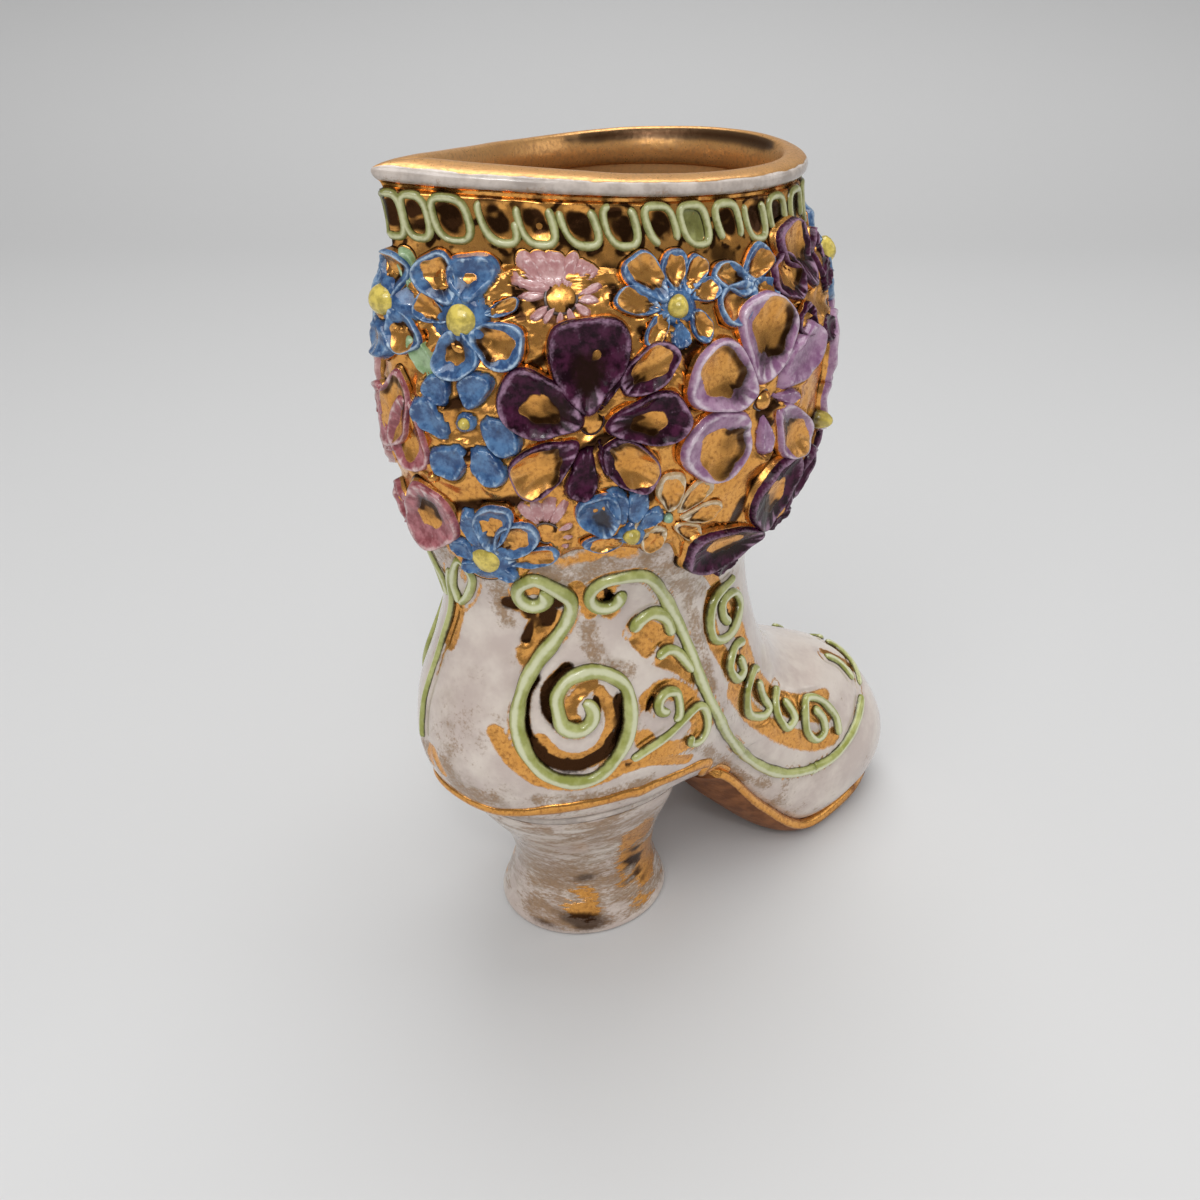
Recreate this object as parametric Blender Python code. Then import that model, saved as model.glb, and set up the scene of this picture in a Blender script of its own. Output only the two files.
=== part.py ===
"""Ceramic vase in the shape of a lady's heeled ankle boot.

The vase is built up the way a potter would assemble it: a hollow cast boot, a thick lip that sits on
the boot's open top, a strip of raised loops under the lip, a waisted heel on a thin heel seat, a sole,
and a coat of separately moulded flowers, leaves and scrolls pressed onto the clay.

Frame: metres, +Z up, the toe towards +X, the boot's own left side towards +Y. The origin is the centre of
the heel's flat foot, on the surface that the vase stands on.

A place on the boot is a level, counted in sections from the mouth, and a bearing in degrees round that
section: 0 is the instep side, 90 the right side (-Y), 180 the back and 270 the left side.
"""
import math
from collections import namedtuple

import bmesh
import bpy
from mathutils import Vector
from mathutils.bvhtree import BVHTree

# Walls, clearances and the fineness of the solids
WALL = 0.0040
RIM_WIDTH = 0.0050
GAP = 0.0003
COLUMNS = 40
CLAY_COLUMNS = 96
CLAY_STEPS = 4

# Mouth and neck sections of the boot
MOUTH_HEIGHT = 0.1930
MOUTH_FALL = 0.0038
MOUTH_FRONT = 0.0500
MOUTH_BACK = 0.0460
MOUTH_HALF_WIDTH = 0.0320
MOUTH_DISH = 0.0024
LIP_DEPTH = 0.0056
BAND_DEPTH = 0.0126
LIP_TOP_ROUND = 0.0009

# Calf bulge, ankle, heel seat and toe
BULGE_HEIGHT = 0.1500
BULGE_FRONT = 0.0570
BULGE_BACK = 0.0450
BULGE_HALF_WIDTH = 0.0395
ANKLE_HEIGHT = 0.1000
ANKLE_FRONT = 0.0450
ANKLE_BACK = 0.0350
ANKLE_HALF_WIDTH = 0.0285
HEEL_HEIGHT = 0.0425
COUNTER_BACK = 0.0430
COUNTER_HALF_WIDTH = 0.0325
INSTEP_HEIGHT = 0.0530
BALL_HALF_WIDTH = 0.0265
TOE_REACH = 0.1060

# Heel, heel seat and sole
HEEL_FOOT_LENGTH = 0.0454
HEEL_FOOT_WIDTH = 0.0420
HEEL_WAIST_LENGTH = 0.0375
HEEL_WAIST_WIDTH = 0.0350
SEAT_BACK = 0.0325
SEAT_BREAST = 0.0185
SEAT_HALF_WIDTH = 0.0255
SEAT_THICKNESS = 0.0016
SEAT_LIP = 0.0008
SEAT_RING_SHARES = (0.4, 0.68, 0.84, 0.93, 1.0)
SEAT_SQUARENESS = 3.2
HEEL_PROFILE = (
    # share of the heel's height, share of the seat's outline, share of the foot's spread
    (0.93, 0.93, 0.0),
    (0.80, 0.66, 0.0),
    (0.64, 0.30, 0.0),
    (0.48, 0.08, 0.0),
    (0.32, 0.00, 0.0),
    (0.20, 0.00, 0.33),
    (0.09, 0.00, 0.75),
    (0.03, 0.00, 1.0),
    (0.00, 0.00, 0.75),
)
SOLE_THICKNESS = 0.0026
SOLE_START_LEVEL = 14.0
SOLE_END_LEVEL = 18.5
SOLE_EDGE_BEARING = 126.0

# Loop strip under the lip
BAND_TOP_LEVEL = 1.20
BAND_BOTTOM_LEVEL = 2.0
BAND_THICKNESS = 0.0007
LOOP_PITCH = 0.0079
LOOP_RELIEF = 0.0013
POINTS_PER_LOOP = 5

# Moulded relief
SCROLL_WIDTH = 0.0024
SCROLL_HEIGHT = 0.0014
SCROLL_STEP = 0.0026
CURL_STEP = 0.0020
CURL_TURN_STEP = 30.0
SCROLL_END_SHARE = 0.55
FLOWER_RADIUS = 0.0130
PETAL_RELIEF = 0.0038
PETAL_GAP_SHARE = 0.62
PETAL_PROFILE = ((0.26, 0.85), (0.52, 0.42), (0.86, 1.0), (1.0, 0.5))
FLOWER_SPACING = 0.0007
NEIGHBOUR_REACH = 1.2
FLOWER_RING_STEP = 0.0040
FLOWER_HEM_LEVEL = 5.85

Section = namedtuple("Section", "front_x front_z back_x back_z half_width widest tear square dish")
Clay = namedtuple("Clay", "facets net")
Flower = namedtuple("Flower", "name level bearing size petals turn relief glaze")
Curl = namedtuple("Curl", "level bearing first_radius last_radius first_angle last_angle")


def between(low, high, share):
    return low + (high - low) * share


NECK_HEIGHT = MOUTH_HEIGHT - LIP_DEPTH - BAND_DEPTH
SECTIONS = (
    # mouth, under the lip, under the loop strip
    Section(MOUTH_FRONT, MOUTH_HEIGHT - MOUTH_FALL, -MOUTH_BACK, MOUTH_HEIGHT,
            MOUTH_HALF_WIDTH, 0.50, 1.05, 2.0, MOUTH_DISH),
    Section(MOUTH_FRONT * 0.97, MOUTH_HEIGHT - MOUTH_FALL - LIP_DEPTH,
            -MOUTH_BACK * 0.948, MOUTH_HEIGHT - LIP_DEPTH,
            MOUTH_HALF_WIDTH * 0.969, 0.50, 1.00, 2.0, MOUTH_DISH * 0.625),
    Section(MOUTH_FRONT * 1.012, NECK_HEIGHT - MOUTH_FALL, -MOUTH_BACK * 0.915, NECK_HEIGHT,
            MOUTH_HALF_WIDTH * 1.053, 0.50, 0.72, 2.0, MOUTH_DISH * 0.125),
    # top of the calf bulge, widest part, taper
    Section(BULGE_FRONT * 0.947, between(BULGE_HEIGHT, NECK_HEIGHT - MOUTH_FALL, 0.762),
            -BULGE_BACK * 0.978, between(BULGE_HEIGHT, NECK_HEIGHT, 0.706),
            BULGE_HALF_WIDTH * 0.924, 0.50, 0.55, 2.0, 0.0),
    Section(BULGE_FRONT, BULGE_HEIGHT, -BULGE_BACK, BULGE_HEIGHT,
            BULGE_HALF_WIDTH, 0.50, 0.40, 2.0, 0.0),
    Section(BULGE_FRONT * 0.982, between(ANKLE_HEIGHT, BULGE_HEIGHT, 0.60),
            -BULGE_BACK * 0.944, between(ANKLE_HEIGHT, BULGE_HEIGHT, 0.60),
            BULGE_HALF_WIDTH * 0.975, 0.50, 0.30, 2.0, 0.0),
    Section(ANKLE_FRONT * 1.156, between(ANKLE_HEIGHT, BULGE_HEIGHT, 0.26),
            -ANKLE_BACK * 1.10, between(ANKLE_HEIGHT, BULGE_HEIGHT, 0.26),
            ANKLE_HALF_WIDTH * 1.21, 0.50, 0.20, 2.0, 0.0),
    # ankle, and down the back of the counter
    Section(ANKLE_FRONT, ANKLE_HEIGHT, -ANKLE_BACK, ANKLE_HEIGHT,
            ANKLE_HALF_WIDTH, 0.50, 0.10, 2.0, 0.0),
    Section(ANKLE_FRONT * 1.011, between(INSTEP_HEIGHT, ANKLE_HEIGHT, 0.766),
            -ANKLE_BACK * 1.071, between(HEEL_HEIGHT, ANKLE_HEIGHT, 0.79),
            ANKLE_HALF_WIDTH, 0.50, 0.05, 2.0, 0.0),
    Section(ANKLE_FRONT * 1.078, between(INSTEP_HEIGHT, ANKLE_HEIGHT, 0.51),
            -COUNTER_BACK * 0.988, between(HEEL_HEIGHT, ANKLE_HEIGHT, 0.53),
            COUNTER_HALF_WIDTH * 0.969, 0.50, 0.0, 2.0, 0.0),
    Section(ANKLE_FRONT * 1.178, between(INSTEP_HEIGHT, ANKLE_HEIGHT, 0.308),
            -COUNTER_BACK, between(HEEL_HEIGHT, ANKLE_HEIGHT, 0.287),
            COUNTER_HALF_WIDTH, 0.52, 0.0, 2.0, 0.0),
    Section(ANKLE_FRONT * 1.30, between(INSTEP_HEIGHT, ANKLE_HEIGHT, 0.16),
            -COUNTER_BACK * 0.837, between(HEEL_HEIGHT, ANKLE_HEIGHT, 0.078),
            COUNTER_HALF_WIDTH * 0.938, 0.55, 0.0, 2.2, 0.0),
    # heel seat and shank
    Section(TOE_REACH * 0.608, between(INSTEP_HEIGHT, ANKLE_HEIGHT, 0.064),
            -COUNTER_BACK * 0.442, between(HEEL_HEIGHT, ANKLE_HEIGHT, 0.017),
            BALL_HALF_WIDTH * 1.075, 0.58, 0.0, 3.0, 0.0),
    Section(TOE_REACH * 0.670, INSTEP_HEIGHT, 0.0, HEEL_HEIGHT,
            BALL_HALF_WIDTH * 1.019, 0.60, 0.0, 3.5, 0.0),
    Section(TOE_REACH * 0.736, INSTEP_HEIGHT * 0.949, TOE_REACH * 0.189, HEEL_HEIGHT * 0.929,
            BALL_HALF_WIDTH * 0.981, 0.60, 0.0, 3.5, 0.0),
    Section(TOE_REACH * 0.802, INSTEP_HEIGHT * 0.887, TOE_REACH * 0.358, HEEL_HEIGHT * 0.447,
            BALL_HALF_WIDTH * 0.981, 0.60, 0.0, 3.5, 0.0),
    # ball of the foot, vamp and toe
    Section(TOE_REACH * 0.868, INSTEP_HEIGHT * 0.798, TOE_REACH * 0.528, SOLE_THICKNESS * 1.31,
            BALL_HALF_WIDTH, 0.62, 0.0, 3.5, 0.0),
    Section(TOE_REACH * 0.927, INSTEP_HEIGHT * 0.660, TOE_REACH * 0.717, SOLE_THICKNESS * 0.885,
            BALL_HALF_WIDTH * 0.906, 0.62, 0.0, 3.2, 0.0),
    Section(TOE_REACH * 0.976, INSTEP_HEIGHT * 0.490, TOE_REACH * 0.863, SOLE_THICKNESS * 1.27,
            BALL_HALF_WIDTH * 0.679, 0.62, 0.0, 2.8, 0.0),
    Section(TOE_REACH, INSTEP_HEIGHT * 0.321, TOE_REACH * 0.9575, SOLE_THICKNESS * 2.77,
            BALL_HALF_WIDTH * 0.340, 0.60, 0.0, 2.4, 0.0),
)
LIP_LEVEL = 1.0
BULGE_TOP_LEVEL = 3.0
LAST_LEVEL = len(SECTIONS) - 1
TOE_ROUND = 0.0012
CAVITY_END_LEVEL = LAST_LEVEL - 0.8
FLAT_WALL_LEVEL = 7.5
CURVED_WALL_LEVEL = 10.0

LONG_SCROLLS = ("heel_scroll", "instep_scroll")

GLAZES = {
    "porcelain": ((0.80, 0.77, 0.76), 0.25, 0.0),
    "gold_lustre": ((0.72, 0.42, 0.13), 0.30, 0.85),
    "loop_green": ((0.62, 0.66, 0.42), 0.25, 0.0),
    "scroll_green": ((0.66, 0.70, 0.42), 0.25, 0.0),
    "blue": ((0.18, 0.34, 0.62), 0.25, 0.0),
    "plum": ((0.16, 0.05, 0.13), 0.25, 0.0),
    "lilac": ((0.52, 0.36, 0.50), 0.25, 0.0),
    "pink": ((0.72, 0.45, 0.48), 0.25, 0.0),
    "rose": ((0.45, 0.12, 0.17), 0.25, 0.0),
    "cream": ((0.80, 0.68, 0.50), 0.25, 0.0),
    "leaf": ((0.48, 0.62, 0.42), 0.25, 0.0),
    "sole_brown": ((0.20, 0.11, 0.07), 0.45, 0.0),
}

FLOWERS = (
    # name, rise as a share of the flower field's height, bearing, share of the usual radius, petals,
    # turn in degrees, share of the usual relief, glaze
    # right side, from the back seam towards the instep
    ("blue_flower_back", 0.88, 180, 0.81, 5, 18, 0.95, "blue"),
    ("blue_flower_large", 0.88, 147, 0.86, 5, 30, 0.95, "blue"),
    ("pink_aster_large", 0.92, 123, 0.71, 5, 0, 0.74, "pink"),
    ("blue_fan_flower", 0.90, 98, 0.86, 5, 20, 0.95, "blue"),
    ("blue_flower_twin", 0.90, 80, 0.62, 4, 45, 0.89, "blue"),
    ("plum_flower_upper", 0.88, 55, 1.00, 5, 0, 1.00, "plum"),
    ("pansy_large", 0.55, 119, 1.46, 6, 15, 1.05, "plum"),
    ("lilac_flower_large", 0.55, 79, 1.31, 5, 10, 1.11, "lilac"),
    ("forget_me_not", 0.53, 148, 0.86, 5, 40, 0.89, "blue"),
    ("rose_flower_upper", 0.50, 180, 0.73, 5, 18, 0.89, "rose"),
    ("rose_flower_lower", 0.19, 180, 0.69, 5, 18, 0.95, "rose"),
    ("blue_flower_low", 0.10, 148, 0.75, 5, 0, 0.89, "blue"),
    ("pink_aster_small", 0.14, 132, 0.48, 5, 0, 0.68, "pink"),
    ("blue_flower_ankle", 0.14, 118, 0.62, 5, 30, 0.84, "blue"),
    ("cream_aster", 0.17, 101, 0.75, 6, 0, 0.63, "cream"),
    ("plum_flower_low", 0.11, 64, 1.15, 5, 30, 1.00, "plum"),
    # instep
    ("lilac_flower_instep", 0.48, 30, 1.35, 5, 0, 1.00, "lilac"),
    ("blue_flower_instep", 0.90, 22, 1.00, 5, 20, 0.95, "blue"),
    ("plum_flower_instep", 0.10, 24, 1.08, 5, 0, 0.95, "plum"),
    ("cream_aster_instep", 0.08, 354, 0.88, 6, 0, 0.68, "cream"),
    # left side, from the instep to the back seam
    ("pansy_left", 0.53, 344, 1.38, 6, 20, 1.05, "plum"),
    ("pink_aster_left", 0.90, 338, 0.92, 5, 0, 0.74, "pink"),
    ("blue_fan_left", 0.90, 305, 1.12, 5, 25, 0.95, "blue"),
    ("blue_flower_low_left", 0.11, 324, 1.00, 5, 0, 0.89, "blue"),
    ("lilac_flower_left", 0.50, 296, 1.46, 5, 30, 1.11, "lilac"),
    ("rose_flower_left", 0.11, 284, 1.08, 5, 15, 0.89, "rose"),
    ("plum_flower_left", 0.90, 267, 1.19, 5, 5, 1.00, "plum"),
    ("pansy_back_left", 0.50, 246, 1.46, 6, 35, 1.05, "plum"),
    ("blue_flower_back_left", 0.11, 240, 1.12, 5, 10, 0.89, "blue"),
    ("blue_flower_left", 0.89, 223, 1.12, 5, 0, 0.95, "blue"),
    ("pink_flower_back", 0.46, 208, 0.96, 5, 20, 0.79, "pink"),
)
LEAVES = (
    ("leaf_upper", 0.97, 162, 0.23, 1, 0, 0.42, "leaf"),
    ("leaf_lower", 0.70, 161.5, 0.26, 1, 0, 0.42, "leaf"),
    ("leaf_left", 0.74, 238, 0.26, 1, 0, 0.42, "leaf"),
)
SCROLLS = {
    # right side; a pair is the level and bearing of a place that the line runs through
    "heel_scroll": (
        Curl(6.50, 138.5, 0.0020, 0.0047, 40, -280), (6.37, 131.5), (6.62, 127.4), (7.02, 127.5),
        (7.46, 131.5), (7.86, 136.7), (8.25, 140.5), (8.64, 141.7), (8.98, 140.5), (9.38, 137.0),
        (9.76, 131.5), (10.02, 123.5), (10.00, 116.0), (9.70, 110.0), (9.30, 106.0), (8.82, 105.0),
        Curl(8.72, 121.5, 0.0121, 0.0046, 385, 530), Curl(8.72, 121.5, 0.0045, 0.0034, 570, 740)),
    "instep_scroll": (
        Curl(6.60, 115.0, 0.0020, 0.0056, 0, -262), (6.18, 109.0), (6.34, 103.5), (6.90, 95.0),
        (7.54, 88.0), (8.26, 82.5), (8.88, 79.0), (9.62, 75.0), (10.94, 71.5), (14.08, 103.5),
        (14.68, 99.5), (15.10, 91.5), (15.44, 83.0), (15.66, 70.5), (15.74, 57.5)),
    "twin_scroll_upper": (Curl(9.04, 93.5, 0.0015, 0.0034, -106, -335), (9.28, 88.8)),
    "twin_scroll_lower": (
        (9.86, 103.5), (9.76, 99.5), (9.70, 93.5), (9.62, 87.5), (9.56, 84.5), (9.72, 80.5),
        (9.98, 79.0), (10.20, 79.5), (10.24, 82.0), (10.12, 84.5)),
    "ankle_curl": (
        Curl(8.08, 59.0, 0.0020, 0.0044, -80, -291), (8.10, 48.5), (8.40, 54.0), (8.54, 59.5),
        (8.52, 65.5), (8.26, 70.0), (7.86, 72.0), (7.44, 68.5)),
    "lace_garland": (
        (8.90, 59.5), (9.16, 63.5), (9.54, 61.0), (9.52, 55.0), (10.02, 55.5), (10.94, 57.5),
        (11.60, 58.0), (11.38, 49.5), (11.96, 55.0), (13.04, 69.0), (13.80, 78.5), (13.50, 65.0),
        (14.00, 73.0), (14.44, 78.0), (14.74, 76.5), (14.74, 68.5)),
    "leaf_lobe_upper": ((7.46, 104.5), (7.28, 100.5), (7.42, 95.0), (7.72, 91.5)),
    "leaf_lobe_lower": ((8.20, 96.5), (8.16, 91.5), (8.30, 87.5)),
    "toe_curl": ((14.04, 27.0), (14.70, 23.5), (15.18, 29.5), (15.44, 38.5)),
}


def curve_value(values, position):
    """Value at a fractional position along a smooth curve through evenly spaced values."""
    last = len(values) - 1
    start = min(max(int(position), 0), last - 1)
    part = position - start
    here, ahead = values[start], values[start + 1]
    before = values[start - 1] if start > 0 else 2 * here - ahead
    after = values[start + 2] if start + 2 <= last else 2 * ahead - here
    leave, arrive = (ahead - before) / 2, (after - here) / 2
    square, cube = part * part, part ** 3
    return ((2 * cube - 3 * square + 1) * here + (cube - 2 * square + part) * leave
            + (3 * square - 2 * cube) * ahead + (cube - square) * arrive)


def section_at(level):
    """The boot's section at a fractional level."""
    fields = [curve_value([section[field] for section in SECTIONS], level)
              for field in range(len(Section._fields))]
    return Section(*fields)


def signed_power(value, power):
    return math.copysign(abs(value) ** power, value)


def section_point(section, bearing):
    """Point of a section's outline: round in front, square below, drawn to a point by its tear."""
    front = Vector((section.front_x, 0.0, section.front_z))
    back = Vector((section.back_x, 0.0, section.back_z))
    length = (front - back).length
    forward = (front - back) / length
    upward = Vector((-forward.z, 0.0, forward.x))
    centre = front.lerp(back, section.widest)
    angle = math.radians(bearing)
    cosine, sine = math.cos(angle), math.sin(angle)
    power = 1.0 if cosine > 0 else 2.0 / max(section.square, 1.2)
    along, across = signed_power(cosine, power), signed_power(sine, power)
    tear = max(section.tear, 0.0)
    widest_share = 2 * ((tear + 1) / (tear + 2)) ** ((tear + 1) / 2) * (1 / (tear + 2)) ** 0.5
    across *= abs(math.cos(angle / 2)) ** tear / widest_share
    reach = length * (section.widest if along > 0 else 1 - section.widest)
    dished = upward * (section.dish * (along * along - 1))
    return centre + forward * (along * reach) - Vector((0, section.half_width * across, 0)) + dished


def boot_point(level, bearing):
    return section_point(section_at(level), bearing)


def boot_normal(level, bearing):
    """Outward direction of the boot's surface."""
    low, high = max(level - 0.05, 0.0), min(level + 0.05, LAST_LEVEL)
    down = boot_point(high, bearing) - boot_point(low, bearing)
    around = boot_point(level, bearing + 1.5) - boot_point(level, bearing - 1.5)
    return around.cross(down).normalized()


def inner_point(level, bearing, wall):
    """Point of the hollow's surface, a wall's thickness inside the boot's."""
    section = section_at(level)
    front, back = Vector((section.front_x, section.front_z)), Vector((section.back_x, section.back_z))
    inward = (back - front).normalized()
    front, back = front + inward * wall, back - inward * (wall * (1 + max(section.tear, 0.0)))
    flat = section_point(section._replace(front_x=front.x, front_z=front.y, back_x=back.x,
                                          back_z=back.y, half_width=section.half_width - wall), bearing)
    if level <= FLAT_WALL_LEVEL:
        return flat
    curved = boot_point(level, bearing) - boot_normal(level, bearing) * wall
    share = min((level - FLAT_WALL_LEVEL) / (CURVED_WALL_LEVEL - FLAT_WALL_LEVEL), 1.0)
    return flat.lerp(curved, share)


def bearings(count):
    return [360.0 * column / count for column in range(count)]


def outer_ring(level, count=COLUMNS):
    return [boot_point(level, bearing) for bearing in bearings(count)]


def inner_ring(level, wall=WALL, count=COLUMNS):
    return [inner_point(level, bearing, wall) for bearing in bearings(count)]


def level_range(start, end, step):
    count = max(int(round(abs(end - start) / step)), 1)
    return [start + (end - start) * index / count for index in range(count + 1)]


def extrude_ring(bm, ring, points):
    """Extrude a closed ring of vertices and move the new ring to the given points."""
    edges = [bm.edges.get((vertex, ring[index - 1])) for index, vertex in enumerate(ring)]
    made = bmesh.ops.extrude_edge_only(bm, edges=edges)["geom"]
    fresh = {item for item in made if isinstance(item, bmesh.types.BMVert)}
    follow = [next(edge.other_vert(vertex) for edge in vertex.link_edges if edge.other_vert(vertex) in fresh)
              for vertex in ring]
    for partner, point in zip(follow, points):
        partner.co = point
    return follow


def start_ring(bm, points, tip=None):
    """First ring of a loft, with its middle filled by triangles round a tip if there is one."""
    made = bmesh.ops.create_circle(bm, cap_ends=tip is not None, cap_tris=True,
                                   segments=len(points), radius=1.0)["verts"]
    centre = [vertex for vertex in made if vertex.co.length < 0.5]
    ring = sorted((vertex for vertex in made if vertex.co.length >= 0.5),
                  key=lambda vertex: math.atan2(vertex.co.y, vertex.co.x) % (2 * math.pi - 1e-4))
    for vertex, point in zip(ring, points):
        vertex.co = point
    for vertex in centre:
        vertex.co = tip
    return ring


def closed_loft(bm, first_tip, rings, last_tip):
    """Closed body through rings of points, closed to a tip at each end."""
    ring = start_ring(bm, rings[0], first_tip)
    for points in rings[1:]:
        ring = extrude_ring(bm, ring, points)
    ring = extrude_ring(bm, ring, [last_tip] * len(ring))
    bmesh.ops.pointmerge(bm, verts=ring, merge_co=last_tip)


def hoop_loft(bm, rings):
    """Closed hoop through rings of points, the last joined to the first."""
    first = start_ring(bm, rings[0])
    ring = first
    for points in rings[1:]:
        ring = extrude_ring(bm, ring, points)
    ring = extrude_ring(bm, ring, [vertex.co.copy() for vertex in first])
    bmesh.ops.weld_verts(bm, targetmap=dict(zip(ring, first)))


def glaze_material(name):
    material = bpy.data.materials.get(name)
    if material is None:
        colour, roughness, metallic = GLAZES[name]
        material = bpy.data.materials.new(name)
        material.use_nodes = True
        shader = material.node_tree.nodes["Principled BSDF"]
        shader.inputs["Base Color"].default_value = (*colour, 1.0)
        shader.inputs["Roughness"].default_value = roughness
        shader.inputs["Metallic"].default_value = metallic
    return material


def finish(bm, name, glaze):
    """Turn a finished bmesh into a named object with its glaze."""
    bmesh.ops.recalc_face_normals(bm, faces=bm.faces)
    bmesh.ops.triangulate(bm, faces=bm.faces)
    mesh = bpy.data.meshes.new(name)
    bm.to_mesh(mesh)
    bm.free()
    mesh.shade_smooth()
    mesh.set_sharp_from_angle(angle=math.radians(40.0))
    mesh.materials.append(glaze_material(glaze))
    piece = bpy.data.objects.new(name, mesh)
    bpy.context.collection.objects.link(piece)
    return piece


def clay_surface(shell):
    """What the other pieces are pressed onto: the shell's own facets, and a fine net for directions."""
    triangles = [tuple(polygon.vertices) for polygon in shell.data.polygons]
    facets = BVHTree.FromPolygons([vertex.co for vertex in shell.data.vertices], triangles)
    levels = level_range(0.0, LAST_LEVEL, 1.0 / CLAY_STEPS)
    points = [point for level in levels for point in outer_ring(level, CLAY_COLUMNS)]
    faces = []
    for row in range(len(levels) - 1):
        for column in range(CLAY_COLUMNS):
            ahead = (column + 1) % CLAY_COLUMNS
            low, high = row * CLAY_COLUMNS, (row + 1) * CLAY_COLUMNS
            faces.append((low + column, low + ahead, high + ahead, high + column))
    return Clay(facets, BVHTree.FromPolygons(points, faces))


def press(clay, start, direction):
    """Place and outward direction where a straight line meets the clay, or nothing if it misses."""
    place, _, _, _ = clay.facets.ray_cast(start, direction)
    if place is None:
        return None, None
    _, normal, _, _ = clay.net.find_nearest(place)
    return place, normal


def boot_shell():
    """Hollow cast boot, open at the top, its wall closed round the toe."""
    outer_levels = (level_range(LIP_LEVEL, BULGE_TOP_LEVEL, 0.5)
                    + level_range(BULGE_TOP_LEVEL, SOLE_START_LEVEL, 0.625)[1:]
                    + level_range(SOLE_START_LEVEL, LAST_LEVEL, 0.5)[1:])
    inner_levels = (level_range(LIP_LEVEL, CURVED_WALL_LEVEL, 1.0)
                    + level_range(CURVED_WALL_LEVEL, CAVITY_END_LEVEL, 0.9)[1:])
    toe = section_at(LAST_LEVEL)
    toe_front = Vector((toe.front_x, 0, toe.front_z))
    toe_back = Vector((toe.back_x, 0, toe.back_z))
    forward = (toe_front - toe_back).normalized()
    outward = Vector((forward.z, 0, -forward.x))
    tip = toe_front.lerp(toe_back, toe.widest) + outward * TOE_ROUND
    inner_end = inner_ring(CAVITY_END_LEVEL)
    hollow_tip = sum(inner_end, Vector()) / len(inner_end)
    rings = [outer_ring(level) for level in reversed(outer_levels)]
    rings += [inner_ring(level) for level in inner_levels]
    bm = bmesh.new()
    closed_loft(bm, tip, rings, hollow_tip)
    return finish(bm, "boot_shell", "porcelain")


def rim_collar():
    """Thick lip on the boot's open top, its top face falling a little outwards."""
    lift = Vector((0, 0, GAP))
    round_in = RIM_WIDTH * 0.2
    rings = [
        [point + lift for point in outer_ring(LIP_LEVEL)],
        outer_ring(LIP_LEVEL * 0.5),
        outer_ring(LIP_LEVEL * 0.12),
        [point + Vector((0, 0, LIP_TOP_ROUND * 0.4)) for point in inner_ring(0.0, round_in)],
        [point + Vector((0, 0, LIP_TOP_ROUND)) for point in inner_ring(0.0, RIM_WIDTH - round_in)],
        inner_ring(LIP_LEVEL * 0.15, RIM_WIDTH),
        [point + lift for point in inner_ring(LIP_LEVEL, RIM_WIDTH)],
    ]
    bm = bmesh.new()
    hoop_loft(bm, rings)
    finish(bm, "rim_collar", "gold_lustre")


def raised_point(level, bearing, rise):
    """Point that stands a small height off the boot's surface."""
    return boot_point(level, bearing) + boot_normal(level, bearing) * rise


def even_bearings(level, count):
    """Bearings that divide a section's outline into equal lengths."""
    fine = [360.0 * index / 720 for index in range(721)]
    places = [boot_point(level, bearing) for bearing in fine]
    run = [0.0]
    for before, after in zip(places, places[1:]):
        run.append(run[-1] + (after - before).length)
    chosen, at = [], 0
    for index in range(count):
        wanted = run[-1] * index / count
        while run[at + 1] < wanted:
            at += 1
        share = (wanted - run[at]) / (run[at + 1] - run[at])
        chosen.append(fine[at] + share * (fine[at + 1] - fine[at]))
    return chosen, run[-1]


def loop_band():
    """Strip with a row of raised upright loops round the neck, as many on the left as on the right."""
    middle = (BAND_TOP_LEVEL + BAND_BOTTOM_LEVEL) / 2
    _, outline = even_bearings(middle, 4)
    loops = 2 * max(int(round(outline / LOOP_PITCH / 2)), 4)
    places, _ = even_bearings(middle, loops * POINTS_PER_LOOP)
    rows = ((0.0, 0.0), (0.12, 1.0), (0.5, 0.25), (0.88, 1.0), (1.0, 0.0))
    rings = []
    for drop, height in rows:
        level = BAND_TOP_LEVEL + (BAND_BOTTOM_LEVEL - BAND_TOP_LEVEL) * drop
        ring = []
        for index, bearing in enumerate(places):
            side = abs((index % POINTS_PER_LOOP) - (POINTS_PER_LOOP - 1) / 2) / ((POINTS_PER_LOOP - 1) / 2)
            between = 1.0 if side >= 0.99 else 0.0
            ridge = height if not between else 0.45 * height
            ridge = max(ridge, 1.0 if 0.4 < side < 0.99 and 0.0 < drop < 1.0 else 0.0)
            ring.append(raised_point(level, bearing, GAP + BAND_THICKNESS + LOOP_RELIEF * ridge))
        rings.append(ring)
    for level in (BAND_BOTTOM_LEVEL, middle, BAND_TOP_LEVEL):
        rings.append([raised_point(level, bearing, GAP) for bearing in places])
    bm = bmesh.new()
    hoop_loft(bm, rings)
    finish(bm, "loop_band", "loop_green")


def underside(clay, x, y):
    """Height of the boot's underside above the table at a place under the heel seat."""
    place, _ = press(clay, Vector((x, y, -HEEL_HEIGHT)), Vector((0, 0, 1)))
    return place.z


def seat_outline(grow, count):
    """Plan of the heel seat: round at the back, square across the breast."""
    middle = (SEAT_BREAST - SEAT_BACK) / 2
    reach = (SEAT_BREAST + SEAT_BACK) / 2 + grow
    places = []
    for bearing in bearings(count):
        angle = math.radians(bearing)
        power = 2.0 / SEAT_SQUARENESS if math.cos(angle) > 0 else 1.0
        along, across = signed_power(math.cos(angle), power), signed_power(math.sin(angle), power)
        places.append(Vector((middle + reach * along, -(SEAT_HALF_WIDTH + grow) * across, 0)))
    return places, Vector((middle, 0, 0))


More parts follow.
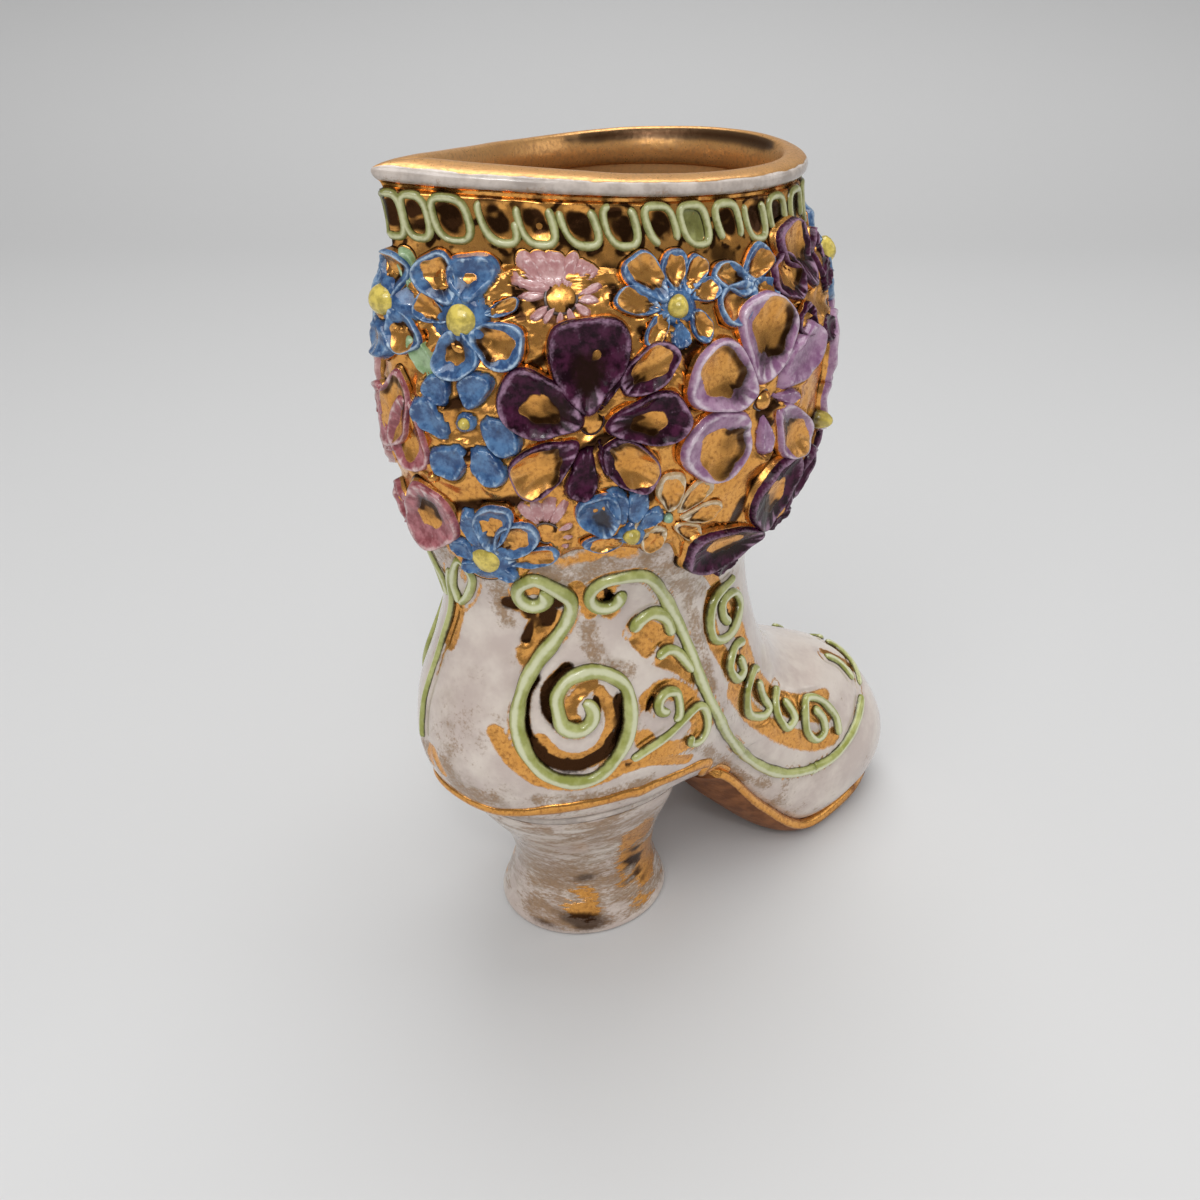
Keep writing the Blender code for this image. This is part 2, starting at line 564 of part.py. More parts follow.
def under_rings(clay, places, centre, shares, drop):
    """Rings of points that follow the boot's underside at a fixed depth below it."""
    rings = []
    for share in shares:
        ring = []
        for place in places:
            spot = centre.lerp(place, share)
            ring.append(Vector((spot.x, spot.y, underside(clay, spot.x, spot.y) - drop)))
        rings.append(ring)
    return rings


def heel_seat(clay):
    """Thin slab between boot and heel, its gilded edge standing out as a line."""
    places, centre = seat_outline(SEAT_LIP, COLUMNS)
    middle_height = underside(clay, centre.x, centre.y)
    top, bottom = GAP, GAP + SEAT_THICKNESS
    shares = SEAT_RING_SHARES[:-1] + (0.985,)
    rings = under_rings(clay, places, centre, shares, top)
    rings += under_rings(clay, places, centre, (1.0,), (top + bottom) / 2)
    rings += under_rings(clay, places, centre, shares[::-1], bottom)
    bm = bmesh.new()
    closed_loft(bm, Vector((centre.x, 0, middle_height - top)), rings,
                Vector((centre.x, 0, middle_height - bottom)))
    finish(bm, "heel_seat", "gold_lustre")


def heel(clay):
    """Waisted heel: its top follows the heel seat and its foot is a flat oval."""
    places, centre = seat_outline(0.0, COLUMNS)
    drop = 2 * GAP + SEAT_THICKNESS
    top_rings = under_rings(clay, places, centre, SEAT_RING_SHARES, drop)
    rings = list(top_rings)
    for height, seat_share, spread in HEEL_PROFILE:
        length = between(HEEL_WAIST_LENGTH, HEEL_FOOT_LENGTH, spread)
        width = between(HEEL_WAIST_WIDTH, HEEL_FOOT_WIDTH, spread)
        ring = []
        for top, bearing in zip(top_rings[-1], bearings(COLUMNS)):
            angle = math.radians(bearing)
            oval = Vector((length / 2 * math.cos(angle), -width / 2 * math.sin(angle), 0))
            spot = oval.lerp(top, seat_share)
            ring.append(Vector((spot.x, spot.y, top.z * height)))
        rings.append(ring)
    middle_height = underside(clay, centre.x, centre.y)
    bm = bmesh.new()
    closed_loft(bm, Vector((centre.x, 0, middle_height - drop)), rings, Vector())
    finish(bm, "heel", "porcelain")


def sole():
    """Sole slab under the shank, ball and toe, flat where it stands on the table."""
    edge = int(round(SOLE_EDGE_BEARING / 360 * COLUMNS))
    across = bearings(COLUMNS)[edge:COLUMNS - edge + 1]
    rings = []
    for level in level_range(SOLE_START_LEVEL, SOLE_END_LEVEL, 0.5):
        under, over = [], []
        for bearing in across:
            place, normal = boot_point(level, bearing), boot_normal(level, bearing)
            low = place + normal * (GAP + SOLE_THICKNESS)
            under.append(Vector((low.x, low.y, max(low.z, 0.0))))
            over.append(place + normal * GAP)
        rings.append(under + over[::-1])
    first_tip = sum(rings[0], Vector()) / len(rings[0])
    last_tip = sum(rings[-1], Vector()) / len(rings[-1])
    bm = bmesh.new()
    closed_loft(bm, first_tip, rings, last_tip)
    finish(bm, "sole", "sole_brown")


def middle_height(level):
    section = section_at(level)
    return (section.front_z + section.back_z) / 2


def field_level(rise):
    """Level at a share of the height of the flower field, from its hem up to the loop strip."""
    wanted = between(middle_height(FLOWER_HEM_LEVEL), middle_height(BAND_BOTTOM_LEVEL), rise)
    above, below = BAND_BOTTOM_LEVEL, FLOWER_HEM_LEVEL
    for _ in range(24):
        level = (above + below) / 2
        if middle_height(level) > wanted:
            above = level
        else:
            below = level
    return above


def flower_frame(flower):
    """Centre, outward direction, upward and sideways directions of a flower on the boot."""
    centre = boot_point(flower.level, flower.bearing)
    normal = boot_normal(flower.level, flower.bearing)
    upward = (Vector((0, 0, 1)) - normal * normal.z).normalized()
    return centre, normal, upward, upward.cross(normal)


def petal_outline(flower, angle):
    """Share of a flower's radius that its petals reach in a direction."""
    if flower.petals == 1:
        return 0.55 + 0.45 * abs(math.cos(angle))
    lobe = abs(math.sin(flower.petals * (angle - math.radians(flower.turn)) / 2))
    return 0.74 + 0.26 * lobe ** 0.7


def flower_reach(clay, flower, angle, others):
    """How far a flower spreads in a direction before it meets a neighbour's share of the clay."""
    centre, normal, upward, sideways = flower_frame(flower)
    heading = sideways * math.cos(angle) + upward * math.sin(angle)
    radius = flower.size * FLOWER_RADIUS
    full = radius * petal_outline(flower, angle)
    steps = 40
    for step in range(steps, 0, -1):
        reach = full * step / steps
        place, _ = press(clay, centre + heading * reach + normal * radius, -normal)
        if place is None:
            continue
        clear_of_band = height_over(place, BAND_BOTTOM_LEVEL) < -FLOWER_SPACING
        clear_of_ankle = height_over(place, FLOWER_HEM_LEVEL) > 0
        if clear_of_band and clear_of_ankle and all(
                within_share(place, flower, centre, other) for other in others):
            return reach
    return full / steps


def height_over(place, level):
    """Height of a place over the plane of a section."""
    section = section_at(level)
    front = Vector((section.front_x, 0, section.front_z))
    forward = (front - Vector((section.back_x, 0, section.back_z))).normalized()
    return (place - front).dot(Vector((-forward.z, 0, forward.x)))


def within_share(place, flower, centre, other):
    """Whether a place is on this flower's side of the line between it and another."""
    other_centre = boot_point(other.level, other.bearing)
    apart = other_centre - centre
    share = flower.size / (flower.size + other.size)
    return (place - centre).dot(apart.normalized()) < apart.length * share - FLOWER_SPACING / 2


def moulded_flower(clay, flower, flowers):
    """Flower sprig: a boss, hollow petals and their raised rims, pressed onto the clay."""
    centre, normal, upward, sideways = flower_frame(flower)
    radius, relief = flower.size * FLOWER_RADIUS, flower.relief * PETAL_RELIEF
    near = [other for other in flowers if other is not flower
            and (boot_point(other.level, other.bearing) - centre).length
            < (other.size + flower.size) * FLOWER_RADIUS * NEIGHBOUR_REACH]
    count = max(4 * flower.petals, 12)
    angles = [2 * math.pi * index / count + math.radians(flower.turn) for index in range(count)]
    reaches = [flower_reach(clay, flower, angle, near) for angle in angles]

    def ring(share, rise):
        points = []
        for angle, reach in zip(angles, reaches):
            lobe = abs(math.sin(flower.petals * (angle - math.radians(flower.turn)) / 2))
            heading = sideways * math.cos(angle) + upward * math.sin(angle)
            place, facing = press(clay, centre + heading * reach * share + normal * radius, -normal)
            height = rise * relief * (between(PETAL_GAP_SHARE, 1.0, lobe) if share > 0.5 else 1.0)
            points.append(place + facing * (GAP + height))
        return points

    rings = [ring(share, rise) for share, rise in PETAL_PROFILE]
    steps = max(int(math.ceil(radius / FLOWER_RING_STEP)), 1)
    rings += [ring(step / steps, 0.0) for step in range(steps, 0, -1)]
    bm = bmesh.new()
    closed_loft(bm, centre + normal * (GAP + relief), rings, centre + normal * GAP)
    finish(bm, flower.name, flower.glaze)


def curl_points(curl):
    """Points of a spiral drawn flat against the boot and centred on a place."""
    centre, _, upward, sideways = flower_frame(curl)
    turn = curl.last_angle - curl.first_angle
    count = max(int(abs(turn) / CURL_TURN_STEP), 3)
    points = []
    for index in range(count + 1):
        share = index / count
        radius = between(curl.first_radius, curl.last_radius, share)
        angle = math.radians(curl.first_angle + turn * share)
        points.append(centre + (sideways * math.cos(angle) + upward * math.sin(angle)) * radius)
    return points


def even_path(points, step):
    """Points at an even spacing along a smooth curve through the given ones."""
    fine = [curve_value(points, index / 12) for index in range(12 * (len(points) - 1) + 1)]
    path, left = [fine[0]], step
    for before, after in zip(fine, fine[1:]):
        run = (after - before).length
        while run >= left:
            before = before.lerp(after, left / run)
            path.append(before)
            run = (after - before).length
            left = step
        left -= run
    return path


def scroll_path(name, side):
    """Even points of a scroll's line on the right side, or mirrored on the left."""
    points = []
    for item in SCROLLS[name]:
        points += curl_points(item) if isinstance(item, Curl) else [boot_point(*item)]
    path = even_path(points, SCROLL_STEP if name in LONG_SCROLLS else CURL_STEP)
    return [Vector((point.x, point.y * side, point.z)) for point in path]


def pressed_scroll(clay, name, side_name, side):
    """Trailed scroll: a ridge with sloping sides along its line on the clay."""
    pressed = []
    for point in scroll_path(name, side):
        place, _, _, _ = clay.facets.find_nearest(point)
        _, outward, _, _ = clay.net.find_nearest(point)
        pressed.append((place, outward))
    rings = []
    for index, (place, facing) in enumerate(pressed):
        ahead = pressed[min(index + 1, len(pressed) - 1)][0]
        behind = pressed[max(index - 1, 0)][0]
        aside = (ahead - behind).cross(facing).normalized()
        fullness = SCROLL_END_SHARE if index in (0, len(pressed) - 1) else 1.0
        half = SCROLL_WIDTH / 2 * fullness
        foot = place + facing * GAP
        crest = facing * (SCROLL_HEIGHT * fullness)
        rings.append([foot + aside * half, foot + aside * half * 0.5 + crest,
                      foot - aside * half * 0.5 + crest, foot - aside * half])
    first_tip = sum(rings[0], Vector()) / 4
    last_tip = sum(rings[-1], Vector()) / 4
    bm = bmesh.new()
    closed_loft(bm, first_tip, rings, last_tip)
    finish(bm, name + side_name, "scroll_green")


def main():
    for piece in list(bpy.data.objects):
        bpy.data.objects.remove(piece, do_unlink=True)
    clay = clay_surface(boot_shell())
    rim_collar()
    loop_band()
    heel_seat(clay)
    heel(clay)
    sole()
    flowers = [Flower(name, field_level(rise), *rest) for name, rise, *rest in FLOWERS + LEAVES]
    for flower in flowers:
        moulded_flower(clay, flower, flowers)
    for name in SCROLLS:
        pressed_scroll(clay, name, "_right", 1)
        pressed_scroll(clay, name, "_left", -1)


main()
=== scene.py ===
import math
from collections import namedtuple
from functools import lru_cache

import bmesh
import bpy
import numpy as np
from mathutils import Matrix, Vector, noise
from mathutils.bvhtree import BVHTree
from mathutils.kdtree import KDTree


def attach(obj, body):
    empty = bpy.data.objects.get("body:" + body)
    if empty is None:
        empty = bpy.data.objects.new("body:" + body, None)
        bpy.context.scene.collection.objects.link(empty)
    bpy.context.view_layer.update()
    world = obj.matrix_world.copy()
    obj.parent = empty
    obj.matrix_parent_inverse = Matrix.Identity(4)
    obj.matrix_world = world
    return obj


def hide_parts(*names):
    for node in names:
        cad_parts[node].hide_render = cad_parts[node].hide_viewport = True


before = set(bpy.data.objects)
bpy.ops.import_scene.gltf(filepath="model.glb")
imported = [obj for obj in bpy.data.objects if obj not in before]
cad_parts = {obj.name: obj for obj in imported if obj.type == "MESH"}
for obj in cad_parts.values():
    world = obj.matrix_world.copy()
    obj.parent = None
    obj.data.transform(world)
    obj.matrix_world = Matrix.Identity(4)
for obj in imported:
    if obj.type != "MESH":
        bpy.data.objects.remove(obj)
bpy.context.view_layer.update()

bl_info = {
    "name": "Boot vase",
    "version": (1, 0, 0),
    "blender": (4, 5, 0),
    "location": "View3D > Sidebar > Boot vase",
    "description": "Glazed, gilded and moulded surface of a ceramic boot vase",
    "category": "Add Mesh",
}

MM = 0.001

# A place on the boot is a level, from 0 at the mouth to LAST_LEVEL at the tip of the toe, and a bearing in
# degrees: 0 along the instep, 90 on the right side, 180 along the back seam and under the foot, 270 on the
# left. Each row here is the outline at one level: front x and z, back x and z, half width in mm, place of
# the widest part, tear towards the back, squareness underneath, dish of the mouth in mm
SECTIONS = np.array((
    (50.00, 189.20, -46.00, 193.00, 32.00, 0.50, 1.05, 2.0, 2.4),
    (48.50, 183.60, -43.61, 187.40, 31.01, 0.50, 1.00, 2.0, 1.5),
    (50.60, 171.00, -42.09, 174.80, 33.70, 0.50, 0.72, 2.0, 0.3),
    (53.98, 166.00, -44.01, 167.51, 36.50, 0.50, 0.55, 2.0, 0.0),
    (57.00, 150.00, -45.00, 150.00, 39.50, 0.50, 0.40, 2.0, 0.0),
    (55.97, 130.00, -42.48, 130.00, 38.51, 0.50, 0.30, 2.0, 0.0),
    (52.02, 113.00, -38.50, 113.00, 34.48, 0.50, 0.20, 2.0, 0.0),
    (45.00, 100.00, -35.00, 100.00, 28.50, 0.50, 0.10, 2.0, 0.0),
    (45.49, 89.00, -37.49, 87.92, 28.50, 0.50, 0.05, 2.0, 0.0),
    (48.51, 76.97, -42.48, 72.98, 31.49, 0.50, 0.0, 2.0, 0.0),
    (53.01, 67.48, -43.00, 59.00, 32.50, 0.52, 0.0, 2.0, 0.0),
    (58.50, 60.52, -35.99, 46.99, 30.48, 0.55, 0.0, 2.2, 0.0),
    (64.45, 56.01, -19.01, 43.48, 28.49, 0.58, 0.0, 3.0, 0.0),
    (71.02, 53.00, 0.00, 42.50, 27.00, 0.60, 0.0, 3.5, 0.0),
    (78.02, 50.30, 20.03, 39.48, 26.00, 0.60, 0.0, 3.5, 0.0),
    (85.01, 47.01, 37.95, 19.00, 26.00, 0.60, 0.0, 3.5, 0.0),
    (92.01, 42.29, 55.97, 3.41, 26.50, 0.62, 0.0, 3.5, 0.0),
    (98.26, 34.98, 76.00, 2.30, 24.01, 0.62, 0.0, 3.2, 0.0),
    (103.46, 25.97, 91.48, 3.30, 17.99, 0.62, 0.0, 2.8, 0.0),
    (106.00, 17.01, 101.50, 7.20, 9.01, 0.60, 0.0, 2.4, 0.0),
)) * (MM, MM, MM, MM, MM, 1.0, 1.0, 1.0, MM)
LAST_LEVEL = len(SECTIONS) - 1
WALL = 4.0 * MM
FOOT_WALL = 4.2 * MM
# The wall of the hollow lies in the outline's own plane down to the first level, and square to the clay's
# surface below the second
FLAT_WALL_LEVEL = 7.5
CURVED_WALL_LEVEL = 10.0
CAVITY_END_LEVEL = 18.2
# How far a skin reaches down behind the surface, where it closes on itself
TUCK = -0.5 * MM
# What the brush, the lustre and the kiln left, from 0 to 1 at each point of a piece. The dark tint also
# holds painted shade, and the pale tint on gilding is partly painted light
TINTS = ("gilt", "dark", "pale", "smoke", "boss")

Petal = namedtuple("Petal", "level bearing angle length width kind")
Boss = namedtuple("Boss", "level bearing radius height paint")
PetalKind = namedtuple("PetalKind", "height crest floor gold dark pale")
Flower = namedtuple("Flower", "name level bearing size turn relief glaze")
Curl = namedtuple("Curl", "level bearing first_radius last_radius first_angle last_angle")


def smooth_values(table, position):
    """Rows of a table at fractional positions along a smooth curve through them."""
    ends = np.vstack([2 * table[:1] - table[1:2], table, 2 * table[-1:] - table[-2:-1]])
    start = np.clip(position.astype(int), 0, len(table) - 2)
    part = (position - start)[:, None]
    before, here, ahead, after = (ends[start + step] for step in range(4))
    leave, arrive = (ahead - before) / 2, (after - here) / 2
    square, cube = part ** 2, part ** 3
    return ((2 * cube - 3 * square + 1) * here + (cube - 2 * square + part) * leave
            + (3 * square - 2 * cube) * ahead + (cube - square) * arrive)


def outline_points(fields, bearing):
    """Places on the outlines that the fields describe, at the given bearings."""
    front_x, front_z, back_x, back_z, half_width, widest, tear, square, dish = fields.T
    run_x, run_z = front_x - back_x, front_z - back_z
    length = np.hypot(run_x, run_z)
    forward_x, forward_z = run_x / length, run_z / length
    angle = np.radians(bearing)
    cosine, sine = np.cos(angle), np.sin(angle)
    power = np.where(cosine > 0, 1.0, 2.0 / np.maximum(square, 1.2))
    along = np.sign(cosine) * np.abs(cosine) ** power
    across = np.sign(sine) * np.abs(sine) ** power
    tear = np.maximum(tear, 0.0)
    widest_share = 2 * ((tear + 1) / (tear + 2)) ** ((tear + 1) / 2) * (1 / (tear + 2)) ** 0.5
    across = across * np.abs(np.cos(angle / 2)) ** tear / widest_share
    reach = along * length * np.where(along > 0, widest, 1 - widest)
    lift = dish * (along ** 2 - 1)
    return np.stack([front_x - run_x * widest + forward_x * reach - forward_z * lift,
                     -half_width * across,
                     front_z - run_z * widest + forward_z * reach + forward_x * lift], -1)


def boot(level, bearing):
    """Places on the clay surface of the boot."""
    level, bearing = np.broadcast_arrays(np.asarray(level, float), np.asarray(bearing, float))
    fields = smooth_values(SECTIONS, np.clip(level.ravel(), 0.0, LAST_LEVEL))
    return outline_points(fields, bearing.ravel()).reshape(level.shape + (3,))


def unit(vectors):
    return vectors / np.maximum(np.linalg.norm(vectors, axis=-1, keepdims=True), 1e-9)


def boot_normal(level, bearing):
    """Directions straight out of the clay surface."""
    level, bearing = np.asarray(level, float), np.asarray(bearing, float)
    down = boot(np.minimum(level + 0.05, LAST_LEVEL), bearing) - boot(np.maximum(level - 0.05, 0), bearing)
    around = boot(level, bearing + 1.5) - boot(level, bearing - 1.5)
    return unit(np.cross(around, down))


def raised(level, bearing, rise):
    """Places that stand above the clay surface by the given rise."""
    return boot(level, bearing) + boot_normal(level, bearing) * np.asarray(rise)[..., None]


def inner_wall(level, bearing, wall=WALL):
    """Places on the wall of the hollow inside the boot."""
    level, bearing = np.broadcast_arrays(np.asarray(level, float), np.asarray(bearing, float))
    shape, wall = level.shape, np.broadcast_to(wall, level.shape).ravel()[:, None]
    level, bearing = level.ravel(), bearing.ravel()
    fields = smooth_values(SECTIONS, np.clip(level, 0.0, LAST_LEVEL)).copy()
    run = unit(fields[:, 0:2] - fields[:, 2:4])
    fields[:, 0:2] -= run * wall
    fields[:, 2:4] += run * wall * (1 + np.maximum(fields[:, 6:7], 0.0))
    fields[:, 4:5] -= wall
    flat = outline_points(fields, bearing)
    curved = boot(level, bearing) - boot_normal(level, bearing) * wall
    share = np.clip((level - FLAT_WALL_LEVEL) / (CURVED_WALL_LEVEL - FLAT_WALL_LEVEL), 0, 1)[:, None]
    return (flat + (curved - flat) * share).reshape(shape + (3,))


def tree_of(points):
    """Search tree of the given points."""
    tree = KDTree(len(points))
    for index, point in enumerate(points):
        tree.insert(point, index)
    tree.balance()
    return tree


def nearest(tree, points):
    """Index of and distance to the nearest place in a tree, for each point."""
    found = [tree.find(point)[1:] for point in points.reshape(-1, 3)]
    index, distance = zip(*found)
    return np.array(index).reshape(points.shape[:-1]), np.array(distance).reshape(points.shape[:-1])


# Fine net of known places on the boot, to start each search from
CLAY_LEVELS, CLAY_BEARINGS = (values.ravel() for values in np.meshgrid(
    np.arange(0.0, LAST_LEVEL + 0.01, 0.06), np.arange(0.0, 360.0, 1.5), indexing="ij"))
CLAY_TREE = tree_of(boot(CLAY_LEVELS, CLAY_BEARINGS))


def settle(points, along):
    """Levels and bearings where lines through the points meet the boot."""
    starts = [CLAY_TREE.find(point)[1] for point in points]
    level, bearing = CLAY_LEVELS[starts].copy(), CLAY_BEARINGS[starts].copy()

    def flatten(vectors):
        return vectors - (vectors * along).sum(-1, keepdims=True) * along

    for _ in range(5):
        miss = flatten(points - boot(level, bearing))
        by_level = flatten(boot(level + 0.02, bearing) - boot(level - 0.02, bearing)) / 0.04
        by_bearing = flatten(boot(level, bearing + 0.5) - boot(level, bearing - 0.5))
        first, second = (by_level ** 2).sum(-1), (by_bearing ** 2).sum(-1)
        cross = (by_level * by_bearing).sum(-1)
        level_pull, bearing_pull = (by_level * miss).sum(-1), (by_bearing * miss).sum(-1)
        scale = first * second - cross ** 2 + 1e-18
        level_step = np.clip((second * level_pull - cross * bearing_pull) / scale, -0.3, 0.3)
        level = np.clip(level + level_step, 0.3, LAST_LEVEL - 0.2)
        bearing = bearing + np.clip((first * bearing_pull - cross * level_pull) / scale, -6, 6)
    return level, bearing


def settle_net(net, along):
    """Levels and bearings of a whole net of points pressed onto the boot in one direction."""
    level, bearing = settle(net.reshape(-1, 3), along)
    return level.reshape(net.shape[:2]), bearing.reshape(net.shape[:2])


def local_axes(level, bearing):
    """Place, outward, sideways and upward directions at one place on the boot."""
    place, normal = boot(level, bearing), boot_normal(level, bearing)
    upward = unit(np.array((0, 0, 1.0)) - normal * normal[2])
    return place, normal, np.cross(upward, normal), upward


def ramp(values, low, high):
    """Soft step from 0 at the low value to 1 at the high one."""
    share = np.clip((values - low) / (high - low), 0, 1)
    return share * share * (3 - 2 * share)


def lumps(points, size, seed=0.0):
    """Smooth uneven values between about -1 and 1 at a size in metres."""
    shift = Vector((seed, seed * 0.7, -seed))
    flat = points.reshape(-1, 3) / size
    return np.array([noise.noise(Vector(point) + shift) for point in flat]).reshape(points.shape[:-1])


def running_length(points):
    """Distance along a line of points, from 0 at the first one."""
    return np.concatenate([[0], np.cumsum(np.linalg.norm(np.diff(points, axis=0), axis=1))])


def tint_layers(bm):
    return {name: bm.verts.layers.float.get(name) or bm.verts.layers.float.new(name) for name in TINTS}


def lay_grid(bm, points, tints, hoop=True, closed_rows=False, poles=(False, False)):
    """Bends a grid onto rows of points and closes its seams and poles."""
    layers = tint_layers(bm)
    rows, columns = points.shape[:2]
    width, height = columns + int(hoop), rows + int(closed_rows)
    made = bmesh.ops.create_grid(bm, x_segments=width - 1, y_segments=height - 1, size=1.0)["verts"]
    values = [(layers[name], np.broadcast_to(value, (rows, columns))) for name, value in tints.items()]
    weld = {}
    for index, vert in enumerate(made):
        row, column = divmod(index, width)
        row, column = row % rows, column % columns
        if (row == 0 and poles[0]) or (row == rows - 1 and poles[1]):
            column = 0
        vert.co = points[row, column]
        for layer, value in values:
            vert[layer] = value[row, column]
        target = made[row * width + column]
        if target is not vert:
            weld[vert] = target
    bmesh.ops.weld_verts(bm, targetmap=weld)


def pole_row(ring):
    """Row of a net whose points all lie at the middle of a ring."""
    return ring.mean(0, keepdims=True)[None, :].repeat(len(ring), 1)


def lay_dome(bm, points, tints):
    """Lays rings of points from their middle outwards and closes them underneath."""
    lay_grid(bm, np.concatenate([points, pole_row(points[-1])]),
             {name: np.vstack([value, value[-1:]]) for name, value in tints.items()}, poles=(True, True))


def finish_piece(bm, name, material, node):
    """Turns the faces outwards, hangs the piece under the root body and hides its CAD node in its place."""
    bmesh.ops.recalc_face_normals(bm, faces=bm.faces[:])
    mesh = bpy.data.meshes.new(name)
    bm.to_mesh(mesh)
    bm.free()
    mesh.shade_smooth()
    mesh.materials.append(material)
    piece = bpy.data.objects.new(name, mesh)
    bpy.context.scene.collection.objects.link(piece)
    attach(piece, "root")
    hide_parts(node)


# Radius in mm of a flower whose size is 1, and the share of it at which a petal's middle lies
FLOWER_RADIUS = 13.0
PETAL_REACH = 0.58
# Flowers: name, level, bearing, size, turn in degrees, relief, glaze
FLOWERS = tuple(Flower(*row) for row in (
    ("blue_flower_back", 3.064, 180, 0.81, 18, 0.95, "blue"),
    ("blue_flower_large", 3.064, 147, 0.86, 30, 0.95, "blue"),
    ("pink_aster_large", 2.837, 123, 0.71, 0, 0.74, "pink"),
    ("blue_fan_flower", 2.965, 98, 0.86, 20, 0.95, "blue"),
    ("blue_flower_twin", 2.965, 80, 0.62, 45, 0.89, "blue"),
    ("plum_flower_upper", 3.064, 55, 1.00, 0, 1.00, "plum"),
    ("pansy_large", 4.158, 119, 1.46, 15, 1.05, "plum"),
    ("lilac_flower_large", 4.158, 79, 1.31, 10, 1.11, "lilac"),
    ("forget_me_not", 4.217, 148, 0.86, 40, 0.89, "blue"),
    ("rose_flower_upper", 4.302, 180, 0.73, 18, 0.89, "rose"),
    ("rose_flower_lower", 5.205, 180, 0.69, 18, 0.95, "rose"),
    ("blue_flower_low", 5.500, 148, 0.75, 0, 0.89, "blue"),
    ("pink_aster_small", 5.367, 132, 0.48, 0, 0.68, "pink"),
    ("blue_flower_ankle", 5.367, 118, 0.62, 30, 0.84, "blue"),
    ("cream_aster", 5.270, 101, 0.75, 0, 0.63, "cream"),
    ("plum_flower_low", 5.466, 64, 1.15, 30, 1.00, "plum"),
    ("lilac_flower_instep", 4.358, 30, 1.35, 0, 1.00, "lilac"),
    ("blue_flower_instep", 2.965, 22, 1.00, 20, 0.95, "blue"),
    ("plum_flower_instep", 5.500, 24, 1.08, 0, 0.95, "plum"),
    ("cream_aster_instep", 5.568, 354, 0.88, 0, 0.68, "cream"),
    ("pansy_left", 4.217, 344, 1.38, 20, 1.05, "plum"),
    ("pink_aster_left", 2.965, 338, 0.92, 0, 0.74, "pink"),
    ("blue_fan_left", 2.965, 305, 1.12, 25, 0.95, "blue"),
    ("blue_flower_low_left", 5.466, 324, 1.00, 0, 0.89, "blue"),
    ("lilac_flower_left", 4.302, 296, 1.46, 30, 1.11, "lilac"),
    ("rose_flower_left", 5.466, 284, 1.08, 15, 0.89, "rose"),
    ("plum_flower_left", 2.965, 267, 1.19, 5, 1.00, "plum"),
    ("pansy_back_left", 4.302, 246, 1.46, 35, 1.05, "plum"),
    ("blue_flower_back_left", 5.466, 240, 1.12, 10, 0.89, "blue"),
    ("blue_flower_left", 3.016, 223, 1.12, 0, 0.95, "blue"),
    ("pink_flower_back", 4.414, 208, 0.96, 20, 0.79, "pink"),
))
# Leaf sprigs: name, level, bearing, direction in degrees, length and width in mm
LEAVES = (("leaf_upper", 2.08, 165.5, 100, 8.0, 3.8), ("leaf_lower", 3.56, 159.0, 118, 10.0, 4.6),
          ("leaf_left", 3.574, 238, 70, 10.0, 5.2))
LEAF_RELIEF = 0.7

